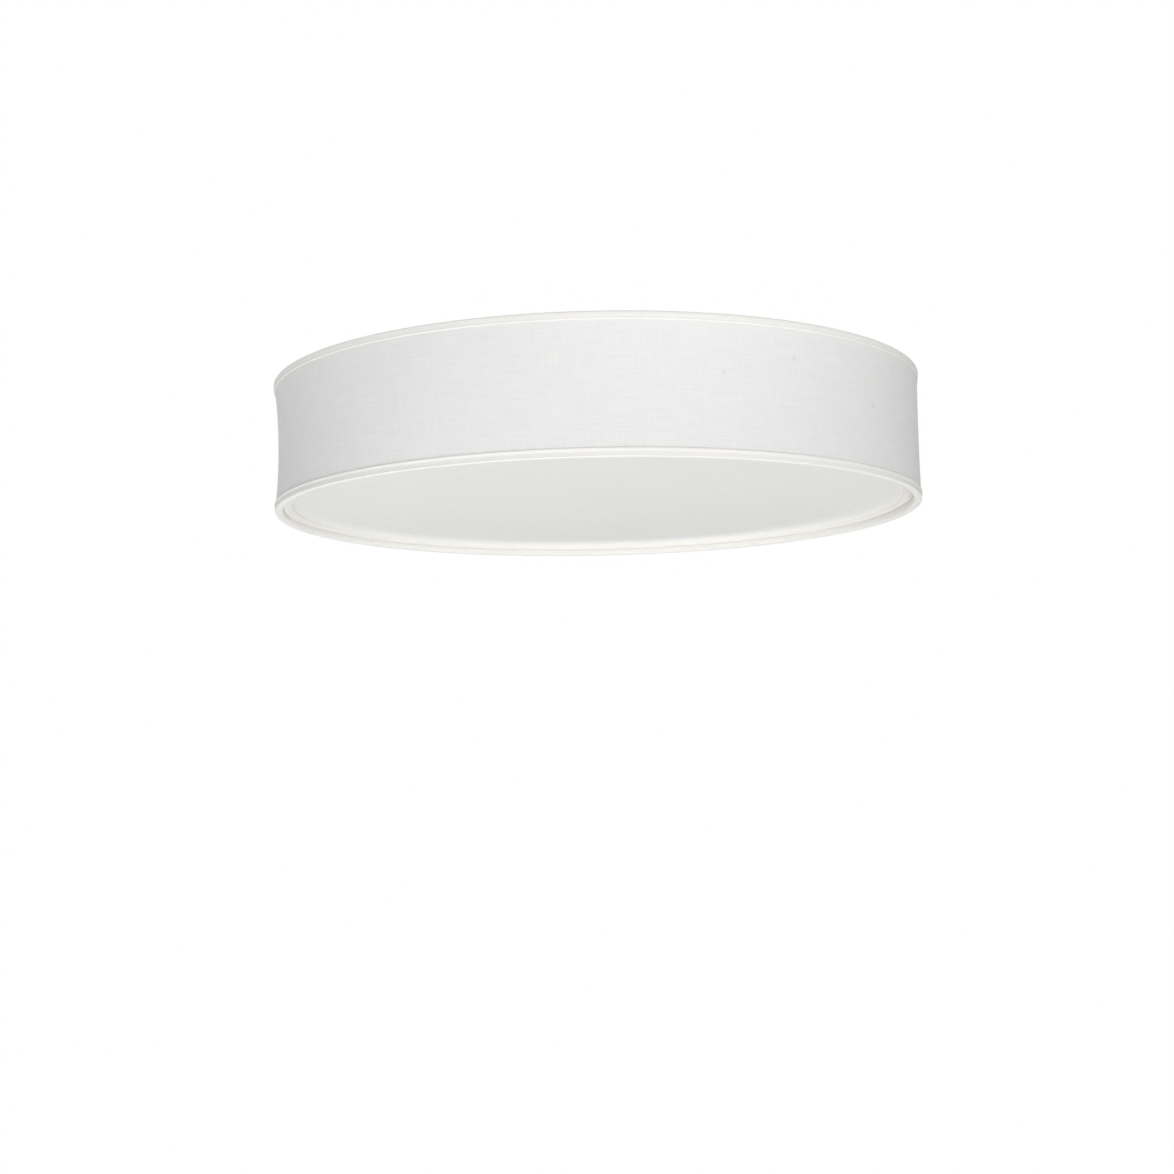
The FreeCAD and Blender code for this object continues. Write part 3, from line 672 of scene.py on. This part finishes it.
def tapeSection(tape, turn):
    # the outer face, the bead, the inner flap, and the way back round the wire
    height = tape["height"] + tape["sway"] * waver(turn, 12, tape["seed"] + 9)
    rise = tape["beadRise"]
    limit = shadeRadius - bead["sway"] * (1 + waver(turn, 12, tape["seed"] + 2))
    beadOut = limit
    beadIn = bead["inner"]
    if tape["away"] > 0:
        full = nearTurn(turn, bead["swellTurn"], bead["swellSpread"])
        rise += bead["lowerRound"] * full
        beadOut -= bead["lowerInset"] + bead["lowerTaper"] * full
        beadIn = ringBore(turn)
    run = height - rise
    crest = (shadeRadius + beadIn) / 2

    def levelZ(h):
        return tape["edge"] + tape["away"] * h

    face = []
    for k in range(bead["faceRows"] + 1):
        s = run * k / bead["faceRows"]
        z = levelZ(height - s)
        reach = coverRadius(turn, z) + flapRise(tape, s, run, beadOut, turn)
        face.append((min(reach, limit), z))
    bends = [pi / 2 * k / bead["bendRows"] for k in range(1, bead["bendRows"] + 1)]
    face += [(crest + (beadOut - crest) * cos(a), levelZ(rise * (1 - sin(a)))) for a in bends]
    face += [(crest - (crest - beadIn) * sin(a), levelZ(rise * (1 - cos(a)))) for a in bends]
    flap = tape["innerHeight"] - rise + 2.5 * tape["sway"] * waver(turn, 11, tape["seed"] + 4)
    face += [(beadIn + off * mm, levelZ(rise + flap * share)) for share, off in innerFlap]
    wireZ = bead["wireIn"]
    backRadius = ringInner - bead["backGap"]
    back = [(backRadius, levelZ(wireZ + (rise + flap - wireZ) * share)) for share in (0.96, 0.5, 0.0)]
    for k in range(1, bead["wireRows"]):
        a = pi * (1 + k / bead["wireRows"])
        reach = fit["overWire"] + bead["flare"] * smoothStep(a / pi * 2 - 3)
        back.append((ringMiddle + reach * cos(a), levelZ(wireZ + fit["overWire"] * sin(a))))
    for share in (0.0, 0.35, 0.7, 1.0):
        z = levelZ(wireZ + (height - wireZ - bead["hemGap"]) * share)
        back.append((coverRadius(turn, z) + bead["clothGap"], z))
    return face + back


for name, tape in shadeTapes.items():
    section = partial(tapeSection, tape)
    piece = sweepAround(name, section, bead["columns"], looks["shadeTape"])
    settle(piece, "shade", tape["node"])
print("shade tapes ready")


# ring wires, struts and spider arms

wires = {"topWire": ("top_ring", "shade", ringMiddle, topRingZ),
         "bottomWire": ("bottom_ring", "shade", ringMiddle, bottomRingZ),
         "hoopWireRing": ("diffuser_hoop", "diffuser", hoopRadius, hoopZ)}
for name, (node, body, radius, z) in wires.items():
    piece = growPiece(name, [(0, 0, 0)], [], hoopTree, {
        "Finish": looks["wireEnamel"], "Hoop Radius": radius, "Wire Radius": fit["wire"], "Height": z})
    settle(piece, body, node)

strut = {"radius": 1.5 * mm}
strutAt = clothRadius - cover["cloth"] - strut["radius"]
for number, turn in enumerate(armTurns, 1):
    ends = [polar(strutAt, turn, bottomRingZ), polar(strutAt, turn, topRingZ)]
    piece = growPiece(f"strutRod{number}", ends, [(0, 1)], rodTree, {
        "Finish": looks["wireEnamel"], "Rod Radius": strut["radius"]})
    settle(piece, "shade", f"strut_{number}")

arm = {"radius": 2.5 * mm, "bend": 8 * mm, "screwAt": 105 * mm, "crankFoot": 145 * mm, "crankTop": 162 * mm,
       "flatAt": 118.5 * mm, "roundAt": 130.5 * mm, "strapWidth": 12 * mm, "thick": 3 * mm, "eyelet": 10 * mm,
       "overlap": 6 * mm, "hole": 2.6 * mm, "holeRound": 0.2 * mm, "rimRound": 0.8 * mm, "facets": 24,
       "squareness": 0.55}
armLowZ = low("spider_arm_1").z + arm["thick"] / 2


def armLine():
    # the rod's middle line from the ring inwards, with both bends of the crank
    corners = [Vector((ringInner, topRingZ)), Vector((arm["crankTop"], topRingZ)),
               Vector((arm["crankFoot"], armLowZ)), Vector((arm["roundAt"], armLowZ))]
    bends = [roundCorner(*corners[k:k + 3], arm["bend"], 8) for k in range(2)]
    return [corners[0], *bends[0], *bends[1], corners[-1]]


def armRing(at, direction, width, height):
    # oval across the rod; a flat strap is a squarer one
    up = Vector((-direction.y, direction.x))
    power = 1 if width < 1.2 * height else arm["squareness"]
    ring = []
    for a in evenTurns(arm["facets"]):
        across = copysign(abs(cos(a)) ** power, cos(a)) * width / 2
        rise = copysign(abs(sin(a)) ** power, sin(a)) * height / 2
        ring.append(Vector((at.x + up.x * rise, across, at.y + up.y * rise)))
    return ring


def makeArm(name, turn):
    line = armLine()
    rod = 2 * arm["radius"]
    rings = []
    for k, at in enumerate(line):
        ahead = line[min(k + 1, len(line) - 1)] - line[max(k - 1, 0)]
        rings.append(armRing(at, ahead.normalized(), rod, rod))
    inwards = Vector((-1, 0))
    for share in (0.25, 0.5, 0.75, 1.0):
        ease = smoothStep(share)
        at = Vector((arm["roundAt"] + (arm["flatAt"] - arm["roundAt"]) * share, armLowZ))
        width, height = rod + (arm["strapWidth"] - rod) * ease, rod + (arm["thick"] - rod) * ease
        rings.append(armRing(at, inwards, width, height))
    end = Vector((arm["screwAt"] + arm["overlap"], armLowZ))
    rings.append(armRing(end, inwards, arm["strapWidth"], arm["thick"]))
    strap = loftPiece(name + "Rod", rings, looks["wireEnamel"])
    half = arm["thick"] / 2
    section = softOutline([(arm["hole"], -half, arm["holeRound"]), (arm["eyelet"], -half, arm["rimRound"]),
                           (arm["eyelet"], half, arm["rimRound"]), (arm["hole"], half, arm["holeRound"])])
    place = Matrix.Translation((arm["screwAt"], 0, armLowZ))
    eyelet = turnedPiece(name + "Eyelet", section, 48, looks["wireEnamel"], place)
    piece = joinPieces(name, [strap, eyelet])
    piece.data.transform(Matrix.Rotation(turn, 4, "Z"))
    return piece


for number, turn in enumerate(armTurns, 1):
    settle(makeArm(f"spiderArm{number}", turn), "shade", f"spider_arm_{number}")
print("shade frame ready")


# thumb screws

thumb = {"radius": 9 * mm, "flutes": 12, "fluteDepth": 0.9 * mm, "fluteFrom": 0.7, "shank": 2.5 * mm,
         "pitch": 0.8 * mm, "threadDepth": 0.32 * mm, "dish": 6 * mm, "dishDepth": 0.8 * mm,
         "dishSlope": 0.7 * mm, "seatGap": 0.2 * mm, "rooted": 0.5 * mm, "plain": 1.5 * mm, "lead": 1.2 * mm,
         "tipTaper": 0.6 * mm}


def makeThumb(name, node, turn):
    foot, tip = low(node).z, high(node).z
    seat = armLowZ - arm["thick"] / 2 - thumb["seatGap"]
    dishZ = foot + thumb["dishDepth"]
    rim = thumb["dish"] + thumb["dishSlope"]
    head = softOutline([(0, dishZ, 0), (thumb["dish"], dishZ, 0.5 * mm), (rim, foot, 0.4 * mm),
                        (thumb["radius"], foot, 1.2 * mm), (thumb["radius"], seat, 1.0 * mm), (0, seat, 0)])

    def flute(a, r, z):
        depth = thumb["fluteDepth"] * (0.5 - 0.5 * cos(thumb["flutes"] * a)) ** 1.5
        start, run = thumb["fluteFrom"] * thumb["radius"], (1 - thumb["fluteFrom"]) * thumb["radius"]
        return r - depth * smoothStep((r - start) / run), z

    place = Matrix.Translation(polar(arm["screwAt"], turn))
    knob = turnedPiece(name + "Knob", head, 144, looks["satinNickel"], place, flute)
    thread = [(0, seat - thumb["rooted"]), (thumb["shank"], seat - thumb["rooted"])]
    z = seat + thumb["plain"]
    while z < tip - thumb["lead"]:
        thread += [(thumb["shank"], z), (thumb["shank"] - thumb["threadDepth"], z + thumb["pitch"] / 2)]
        z += thumb["pitch"]
    thread += [(thumb["shank"], z), (thumb["shank"] - thumb["tipTaper"], tip), (0, tip)]
    shank = turnedPiece(name + "Shank", thread, 32, looks["satinNickel"], place)
    return joinPieces(name, [knob, shank])


for number, turn in enumerate(armTurns, 1):
    node = f"thumb_screw_{number}"
    settle(makeThumb(f"thumbScrew{number}", node, turn), f"thumb_{number}", node)


# diffuser: cloth stretched on its hoop, and the hoop's own tape

diffuser = {"cloth": 0.5 * mm, "slope": 6 * mm, "drop": 2.5 * mm, "sag": 1.4 * mm, "pucker": 0.03 * mm,
            "puckers": 84, "puckerFrom": 0.6, "columns": 360, "cut": 0.488}
discEdge = hoopRadius - fit["wire"]
discFlat = discEdge - diffuser["slope"]


def discHeight(r, turn=0.0):
    # underside of the cloth
    if r < discFlat:
        near = smoothStep((r - diffuser["puckerFrom"] * discFlat) / ((1 - diffuser["puckerFrom"]) * discFlat))
        fold = diffuser["pucker"] * near * sin(diffuser["puckers"] * turn + 3 * waver(turn, 4, 2.0))
        return discZ - diffuser["sag"] * (1 - (r / discFlat) ** 2) + fold
    return discZ - diffuser["drop"] * (r - discFlat) / (discEdge - discFlat)


def clothOutline():
    reach = [discFlat * k / 16 for k in range(17)]
    reach += [discFlat + (discEdge - discFlat) * k / 5 for k in range(1, 6)]
    under = [(r, discHeight(r)) for r in reach]
    return under + [(r, z + diffuser["cloth"]) for r, z in reversed(under)]


def clothRipple(turn, r, z):
    return r, z + discHeight(r, turn) - discHeight(r)


diffuserCloth = turnedPiece("diffuserCloth", clothOutline(), diffuser["columns"], looks["diffuserLinen"],
                            ripple=clothRipple, planarUv=True)
settle(diffuserCloth, "diffuser", "diffuser_disc")

hoopTape = {"bead": 2.8 * mm, "fullness": 1.1 * mm, "slackTurn": radians(8), "slackSpread": radians(34),
            "slackTaper": 0.35 * mm, "sway": 0.05 * mm, "thick": 0.35 * mm, "flap": 2.8 * mm,
            "flapWave": 0.8 * mm, "seed": 12.4, "cutWidth": 20 * mm, "foldGap": 0.12 * mm,
            "foldRound": 0.25 * mm, "foldTurn": 0.2 * mm, "foldTop": 0.5 * mm, "openDrop": 0.8 * mm,
            "shutDrop": 2.5 * mm, "leftTurn": radians(160), "leftSpread": radians(11), "leftShare": 0.4,
            "roofGap": 0.15 * mm, "startRise": 0.6 * mm, "meetAt": 0.3, "backShift": 0.25 * mm,
            "clothGap": 0.03 * mm, "edgeGap": 0.1 * mm, "edgeRise": 0.8 * mm, "columns": 600}
# the flap's rows, as shares of its width and of the tape's thickness
flapRows = ((0.12, 1), (0.3, 1), (0.5, 1), (0.7, 1), (0.88, 1), (0.97, 0.7), (1.0, 0.3))


def hoopTapeSection(turn):
    slack = nearTurn(turn, hoopTape["slackTurn"], hoopTape["slackSpread"])
    size = hoopTape["bead"] - hoopTape["slackTaper"] * slack
    size += hoopTape["sway"] * waver(turn, 15, hoopTape["seed"])
    full = size + hoopTape["fullness"] * (1 - slack)
    # the tape's outer fold meets the ring's tape, and lies higher where the gap shows
    gap = min(1, slack + hoopTape["leftShare"] * nearTurn(turn, hoopTape["leftTurn"], hoopTape["leftSpread"]))
    fold = ringBore(turn) - hoopTape["foldGap"]
    foldZ = hoopZ - hoopTape["shutDrop"] + (hoopTape["shutDrop"] - hoopTape["openDrop"]) * gap
    roofZ = hoopZ + fit["wire"] - hoopTape["roofGap"]
    face = [(hoopRadius + full, roofZ), (fold, hoopZ + hoopTape["foldTop"]),
            (fold, foldZ + hoopTape["foldRound"]), (fold - hoopTape["foldTurn"], foldZ)]
    for k in range(2, 17):
        a = -pi * k / 16
        z = hoopZ + size * sin(a)
        outer = k < 8
        face.append((hoopRadius + (full if outer else size) * cos(a), min(z, foldZ) if outer else z))
    start = hoopRadius - size
    flapEnd = discEdge - hoopTape["flap"] - hoopTape["flapWave"] * waver(turn, 20, hoopTape["seed"] + 3)
    back = []
    for share, thick in flapRows:
        r = start + (flapEnd - start) * share
        lie = discHeight(r)
        blend = smoothStep(share / hoopTape["meetAt"])
        startZ = hoopZ + hoopTape["startRise"] * share
        face.append((r, (lie - hoopTape["thick"] * thick) * blend + startZ * (1 - blend)))
        back.append((r + hoopTape["backShift"] * (1 - share), lie - hoopTape["clothGap"]))
    back = [(r, z) for r, z in reversed(back) if r < discEdge - 2 * hoopTape["edgeGap"]]
    back.append((discEdge - hoopTape["edgeGap"], hoopZ + hoopTape["edgeRise"]))
    for k in range(13):
        a = -pi * (1 - k / 12)
        back.append((hoopRadius + fit["overWire"] * cos(a), hoopZ + fit["overWire"] * sin(a)))
    back.append((hoopRadius + fit["overWire"], roofZ))
    return face + back


hoopTapePiece = sweepAround("hoopTapeBand", hoopTapeSection, hoopTape["columns"], looks["hoopTape"])
settle(hoopTapePiece, "diffuser", "diffuser_binding")
print("diffuser ready")


# ceiling pan

pan = {"radius": high("ceiling_pan").x, "draft": 1.5 * mm, "corner": 7 * mm, "wall": 1 * mm, "rim": 0.3 * mm,
       "padRadius": 13 * mm, "padDrop": 2.5 * mm, "padSlope": 0.6 * mm, "padInto": 0.3 * mm, "columns": 144}


def makePan():
    foot = pan["radius"] - pan["draft"]
    insideZ = panFloorZ + pan["wall"]
    shell = softOutline([(0, panFloorZ, 0), (foot, panFloorZ, pan["corner"]), (pan["radius"], 0, pan["rim"]),
                         (pan["radius"] - pan["wall"], 0, pan["rim"]),
                         (foot - pan["wall"], insideZ, pan["corner"] - pan["wall"]),
                         (0, insideZ, 0)], steps=8)
    parts = [turnedPiece("panShell", shell, pan["columns"], looks["panEnamel"])]
    face, root = panFloorZ - pan["padDrop"], panFloorZ + pan["padInto"]
    pad = softOutline([(0, face, 0), (pan["padRadius"], face, 1.0 * mm),
                       (pan["padRadius"] + pan["padSlope"], root, 0), (0, root, 0)])
    for turn in armTurns:
        place = Matrix.Translation(polar(arm["screwAt"], turn))
        parts.append(turnedPiece("panPad", pad, 48, looks["panEnamel"], place))
    return joinPieces("panShell", parts)


settle(makePan(), "base", "ceiling_pan")


# lamp holders and lamps

holder = {"back": 46 * mm, "mouth": 96 * mm, "neck": 15.5 * mm, "skirt": 19.5 * mm, "neckEnd": 62 * mm,
          "flareEnd": 68 * mm, "socket": 13.6 * mm, "floor": 66 * mm, "groove": 0.6 * mm, "grooves": 3,
          "grooveAt": 5 * mm, "groovePitch": 3 * mm, "grooveSlope": 0.3 * mm, "grooveWidth": 1.5 * mm,
          "lip": 0.5 * mm, "lipAt": 4 * mm, "lipSlope": 0.6 * mm, "sharp": 0.15 * mm, "rim": 0.3 * mm}
lamp = {"tip": 70.4 * mm, "capEnd": 96.4 * mm, "capRadius": 13.2 * mm, "tipRadius": 3 * mm,
        "threadAt": 5 * mm, "threadPitch": 3.6 * mm, "threadDepth": 0.7 * mm, "globeRadius": 22.5 * mm,
        "globeAt": 125.9 * mm, "globeWall": 1.5 * mm, "housingTop": 21 * mm, "housingBase": 13.8 * mm,
        "housingCurve": 1.25, "columns": 72}
lampNeck = lamp["globeAt"] - sqrt(lamp["globeRadius"] ** 2 - lamp["housingTop"] ** 2)


def holderOutline():
    neck, skirt, mouth, socket = (holder[key] for key in ("neck", "skirt", "mouth", "socket"))
    corners = [(0, holder["back"], 0), (neck - 1.5 * mm, holder["back"], 0.8 * mm),
               (neck, holder["back"] + 2 * mm, 0.8 * mm)]
    for k in range(holder["grooves"]):
        z = holder["back"] + holder["grooveAt"] + holder["groovePitch"] * k
        width, slope = holder["grooveWidth"], holder["grooveSlope"]
        corners += [(neck, z, holder["sharp"]), (neck - holder["groove"], z + slope, holder["sharp"]),
                    (neck - holder["groove"], z + width - slope, holder["sharp"]),
                    (neck, z + width, holder["sharp"])]
    lip, stepZ = skirt - holder["lip"], mouth - holder["lipAt"]
    corners += [(neck, holder["neckEnd"], 1.5 * mm), (skirt, holder["flareEnd"], 2.5 * mm),
                (skirt, stepZ, holder["rim"]), (lip, stepZ + holder["lipSlope"], holder["rim"]),
                (lip, mouth, 0.8 * mm), (socket + 1.5 * mm, mouth, 0.6 * mm),
                (socket, mouth - 1.8 * mm, holder["rim"]), (socket, holder["floor"], 0.5 * mm),
                (0, holder["floor"], 0)]
    return softOutline(corners, steps=4)


def capOutline():
    tip, reach, pitch = lamp["tip"], lamp["capRadius"], lamp["threadPitch"]
    outline = [(0, tip), (0.8 * lamp["tipRadius"], tip), (lamp["tipRadius"], tip + 0.5 * mm),
               (lamp["tipRadius"], tip + 1.5 * mm), (0.6 * reach, tip + 1.7 * mm)]
    z = tip + lamp["threadAt"]
    while z < lamp["capEnd"] - pitch:
        for k in range(8):
            crest = 0.5 + 0.5 * cos(2 * pi * k / 8)
            outline.append((reach - lamp["threadDepth"] * (1 - crest), z + pitch * k / 8))
        z += pitch
    return outline + [(reach, z), (reach, lamp["capEnd"]), (0, lamp["capEnd"])]


def housingOutline():
    length = lampNeck - lamp["capEnd"]
    spread = lamp["housingTop"] - lamp["housingBase"]
    curve = [(lamp["housingBase"] + spread * sin(pi / 2 * k / 14) ** lamp["housingCurve"],
              lamp["capEnd"] + length * k / 14) for k in range(15)]
    return [(0, lamp["capEnd"])] + curve + [(0, lampNeck)]


def globeOutline():
    outer, inner = [], []
    for radius, line in ((lamp["globeRadius"], outer), (lamp["globeRadius"] - lamp["globeWall"], inner)):
        start = asin((lampNeck - lamp["globeAt"]) / radius)
        for k in range(25):
            a = start + (pi / 2 - start) * k / 24
            line.append((radius * cos(a) if k < 24 else 0, lamp["globeAt"] + radius * sin(a)))
    return outer + inner[::-1]


lampPieces = (("lampHolder", holderOutline, "base", "lamp_holder", "holderPlastic", "holder_plastic"),
              ("lampCap", capOutline, "bulb_{}", "bulb_cap", "lampCapMetal", "lamp_cap"),
              ("lampHousing", housingOutline, "bulb_{}", "bulb_housing", "lampHousing", "lamp_housing"),
              ("lampGlobe", globeOutline, "bulb_{}", "bulb_globe", "lampOpal", "lamp_globe"))
for number, turn in enumerate(lampTurns, 1):
    place = lampPlace(turn)
    for name, outline, body, node, look, slot in lampPieces:
        piece = turnedPiece(f"{name}{number}", outline(), lamp["columns"], looks[look], place)
        settle(piece, body.format(number), f"{node}_{number}")
print("lamps ready")


# leads and small fasteners

lead = {"radius": 1.5 * mm, "bend": 7 * mm, "blockAt": 43 * mm, "exit": 6 * mm, "lift": 8 * mm,
        "poles": 11 * mm, "holeAt": 3 * mm}
leadZ = panFloorZ + pan["wall"] + lead["lift"]
polesY = (lead["poles"], 0, -lead["poles"])
leadPoints, leadEdges = [], []
for turn, poleY in zip(lampTurns, polesY):
    leadEdges += [(len(leadPoints) + k, len(leadPoints) + k + 1) for k in range(4)]
    leadPoints += [(lead["blockAt"], poleY, leadZ), (lead["blockAt"] - lead["exit"], poleY, leadZ),
                   polar(lead["holeAt"], turn, leadZ), polar(lead["holeAt"], turn, lampZ),
                   polar(holder["back"], turn, lampZ)]
lampLeads = growPiece("lampLeads", leadPoints, leadEdges, rodTree, {
    "Finish": looks["leadSleeve"], "Rod Radius": lead["radius"], "Bend Radius": lead["bend"]})
settle(lampLeads, "base", "lamp_leads")

earth = {"radius": 1.0 * mm, "bend": 5 * mm, "into": 1 * mm, "exit": 9 * mm, "beforeLug": 6 * mm,
         "intoLug": 2 * mm}
earthZ = high("earth_lug").z - earth["radius"]
lugX, lugY = middle("earth_lug", 0), high("earth_lug").y
startX = high("terminal_block").x - earth["into"]
turnX = startX + earth["exit"]
earthLine = [(startX, polesY[2], leadZ), (turnX, polesY[2], leadZ),
             (turnX, (polesY[2] + lugY) / 2, (leadZ + earthZ) / 2),
             (lugX, lugY + earth["beforeLug"], earthZ), (lugX, lugY - earth["intoLug"], earthZ)]
earthLead = growPiece("earthLead", earthLine, [(k, k + 1) for k in range(4)], rodTree, {
    "Finish": looks["earthSleeve"], "Rod Radius": earth["radius"], "Bend Radius": earth["bend"]})
settle(earthLead, "base", "earth_wire")

heads = {"rivet": {"radius": 1.6 * mm, "rise": 0.7 * mm, "slotted": False},
         "screw": {"radius": 2.0 * mm, "rise": 0.9 * mm, "slotted": True},
         "sunk": 0.2 * mm, "slotHalf": 0.16, "slotDepth": 0.45,
         "catchSide": 3.6 * mm, "catchPlate": 1.2 * mm, "catchRise": 8 * mm,
         "bracketAt": 57 * mm, "bracketSide": 7 * mm, "bracketFoot": 1.5 * mm,
         "blockSide": 5 * mm, "wellDepth": 2 * mm}


def makeHead(kind):
    # a domed head, with or without a driver slot, that sits on z = 0
    radius, rise = heads[kind]["radius"], heads[kind]["rise"]
    dome = [(0, -heads["sunk"]), (radius, -heads["sunk"])]
    dome += [(radius * cos(pi / 2 * k / 8), rise * sin(pi / 2 * k / 8)) for k in range(8)]
    dome.append((0, rise))

    def cut(a, r, z):
        across = abs(r * sin(a))
        inSlot = heads[kind]["slotted"] and z > 0.2 * rise and across < heads["slotHalf"] * radius
        return r, z - heads["slotDepth"] * rise if inSlot else z

    return turnedPiece(kind + "Head", dome, 48, looks["zincSteel"], ripple=cut)


def pairsOfHeads(turns, reach, z, side, facing=None):
    # two spots beside each turn; without a direction, the heads face the middle
    spots = []
    for turn in turns:
        sideways = Vector((-sin(turn), cos(turn), 0))
        towards = facing or -polar(1, turn)
        spots += [(polar(reach, turn, z) + sideways * offset, towards) for offset in (-side, side)]
    return spots


def placeHeads(name, head, spots, body, finish):
    places, facings = zip(*spots)
    piece = growPiece(name, places, [], fastenerTree, {"Finish": looks[finish], "Head": head}, facings)
    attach(piece, body)


rivetHead, screwHead = makeHead("rivet"), makeHead("screw")
catchFace = strutAt - strut["radius"] - heads["catchPlate"]
catchZ = low("catch_brackets").z + heads["catchRise"]
footZ = panFloorZ - heads["bracketFoot"]
down, upwards = Vector((0, 0, -1)), Vector((0, 0, 1))
wellZ = high("terminal_block").z - heads["wellDepth"]
catchSpots = pairsOfHeads(armTurns, catchFace, catchZ, heads["catchSide"])
bracketSpots = pairsOfHeads(lampTurns, heads["bracketAt"], footZ, heads["bracketSide"], down)
blockSpots = [(Vector((middle("terminal_block", 0) + side, y, wellZ)), upwards)
              for side in (-heads["blockSide"], heads["blockSide"]) for y in polesY[::-1]]
placeHeads("catchRivets", rivetHead, catchSpots, "shade", "zincSteel")
placeHeads("bracketRivets", rivetHead, bracketSpots, "base", "zincSteel")
placeHeads("blockScrews", screwHead, blockSpots, "base", "springBrass")
for head in (rivetHead, screwHead):
    bpy.data.objects.remove(head)
print("leads and fasteners ready")


# finishes of the nodes that stay as they are

nodeLooks = {
    "zincSteel": ["mounting_bar", "bar_studs", "hoop_keepers", "catch_brackets", "earth_screw",
                  "lamp_bracket_1", "lamp_bracket_2", "lamp_bracket_3"],
    "satinNickel": ["pan_nuts", "clinch_nuts"],
    "springBrass": ["holder_contacts", "earth_lug"],
    "blockNylon": ["terminal_block"],
    "grommetRubber": ["wire_grommet"],
    "magnetPlate": ["catch_magnets"],
}
for look, names in nodeLooks.items():
    for name in names:
        cadNodes[name].data.materials.clear()
        cadNodes[name].data.materials.append(looks[look])


# floor, light and camera

room = {"floorZ": -2.0, "floorRadius": 4.0, "floorCorners": 96, "floorColour": (0.86, 0.86, 0.86),
        "floorRoughness": 0.8, "floorCloud": 1.5, "floorMottle": 0.99, "floorWhite": 0.85,
        "below": 0.585, "above": 0.32, "blend": 0.35}


def seenRays(tree):
    # the camera's rays, and those that metal and glass send on
    rays = addNode(tree, "ShaderNodeLightPath").outputs
    seen = mathNode(tree, "MAXIMUM", rays["Is Camera Ray"], rays["Is Glossy Ray"])
    return mathNode(tree, "MAXIMUM", seen, rays["Is Transmission Ray"])


def mixInto(tree, share, first, second, output):
    mix = addNode(tree, "ShaderNodeMixShader", {0: share, 1: first.outputs[0], 2: second.outputs[0]})
    feed(tree, output.inputs["Surface"], mix.outputs[0])


def makeFloor():
    material, tree, shader = startMaterial("paleFloor", {"Roughness": room["floorRoughness"]})
    cloud = addNode(tree, "ShaderNodeTexNoise", {"Vector": ownPlace(tree), "Scale": room["floorCloud"]})
    pale = shade(room["floorColour"])
    colour = mixColour(tree, cloud.outputs["Fac"], shade(room["floorColour"], room["floorMottle"]), pale)
    feed(tree, shader.inputs["Base Color"], colour)
    share = mathNode(tree, "MULTIPLY", seenRays(tree), room["floorWhite"])
    output = next(node for node in tree.nodes if node.type == "OUTPUT_MATERIAL")
    mixInto(tree, share, shader, addNode(tree, "ShaderNodeEmission"), output)
    ring = [polar(room["floorRadius"], turn, room["floorZ"]) for turn in evenTurns(room["floorCorners"])]
    addPiece("paleFloor", ring, [tuple(range(len(ring)))], material)


def makeWorld():
    world = bpy.data.worlds.new("softRoom")
    bpy.context.scene.world = world
    world.use_nodes = True
    tree = world.node_tree
    tree.nodes.clear()
    place = addNode(tree, "ShaderNodeTexCoord").outputs["Generated"]
    height = addNode(tree, "ShaderNodeSeparateXYZ", {0: place}).outputs["Z"]
    limits = (-room["blend"], room["blend"], room["below"], room["above"])
    strength = mapRange(tree, height, limits, interpolation_type="SMOOTHSTEP")
    light = addNode(tree, "ShaderNodeBackground", {"Strength": strength, "Color": (1, 1, 1, 1)})
    white = addNode(tree, "ShaderNodeBackground", {"Color": (1, 1, 1, 1)})
    mixInto(tree, seenRays(tree), light, white, addNode(tree, "ShaderNodeOutputWorld"))


softBoxes = {
    "keyBox": {"azimuth": -77.5, "elevation": -14, "distance": 2.4, "size": 1.5, "power": 28.5},
    "leftBox": {"azimuth": 178, "elevation": -5, "distance": 2.4, "size": 1.5, "power": 7.1},
    "bounceBox": {"azimuth": -130, "elevation": -76, "distance": 1.85, "size": 2.2, "power": 16.5},
    "topBox": {"azimuth": 90, "elevation": 84, "distance": 2.4, "size": 3.2, "power": 22.0},
}


def makeLights():
    aim = Vector((0, 0, (shadeTop + shadeBottom) / 2))
    for name, box in softBoxes.items():
        around, lift = radians(box["azimuth"]), radians(box["elevation"])
        offset = polar(box["distance"] * cos(lift), around, box["distance"] * sin(lift))
        light = bpy.data.lights.new(name, "AREA")
        light.energy = box["power"]
        light.shape = "DISK"
        light.size = box["size"]
        piece = linkObject(name, light)
        piece.location = aim + offset
        piece.rotation_euler = (-offset).to_track_quat("-Z", "Y").to_euler()
        piece.visible_camera = False


view = {"location": (0.0, -1.5833, -0.3417), "lens": 62.95, "sensor": 36, "pitch": 0.1161134, "yaw": -0.0062,
        "roll": -0.0200668}


def makeCamera():
    data = bpy.data.cameras.new("photoCamera")
    data.lens = view["lens"]
    data.sensor_width = view["sensor"]
    camera = linkObject("photoCamera", data)
    level, tilt = cos(view["pitch"]), view["roll"]
    forward = Vector((sin(view["yaw"]) * level, cos(view["yaw"]) * level, sin(view["pitch"])))
    right = forward.cross(Vector((0, 0, 1))).normalized()
    up = right.cross(forward)
    across = right * cos(tilt) + up * sin(tilt)
    upright = up * cos(tilt) - right * sin(tilt)
    turnTo = Matrix((across, upright, -forward)).transposed().to_4x4()
    camera.matrix_world = Matrix.Translation(view["location"]) @ turnTo
    bpy.context.scene.camera = camera


makeFloor()
makeWorld()
makeLights()
makeCamera()
bpy.context.scene.view_settings.view_transform = "Standard"

print("scene ready")
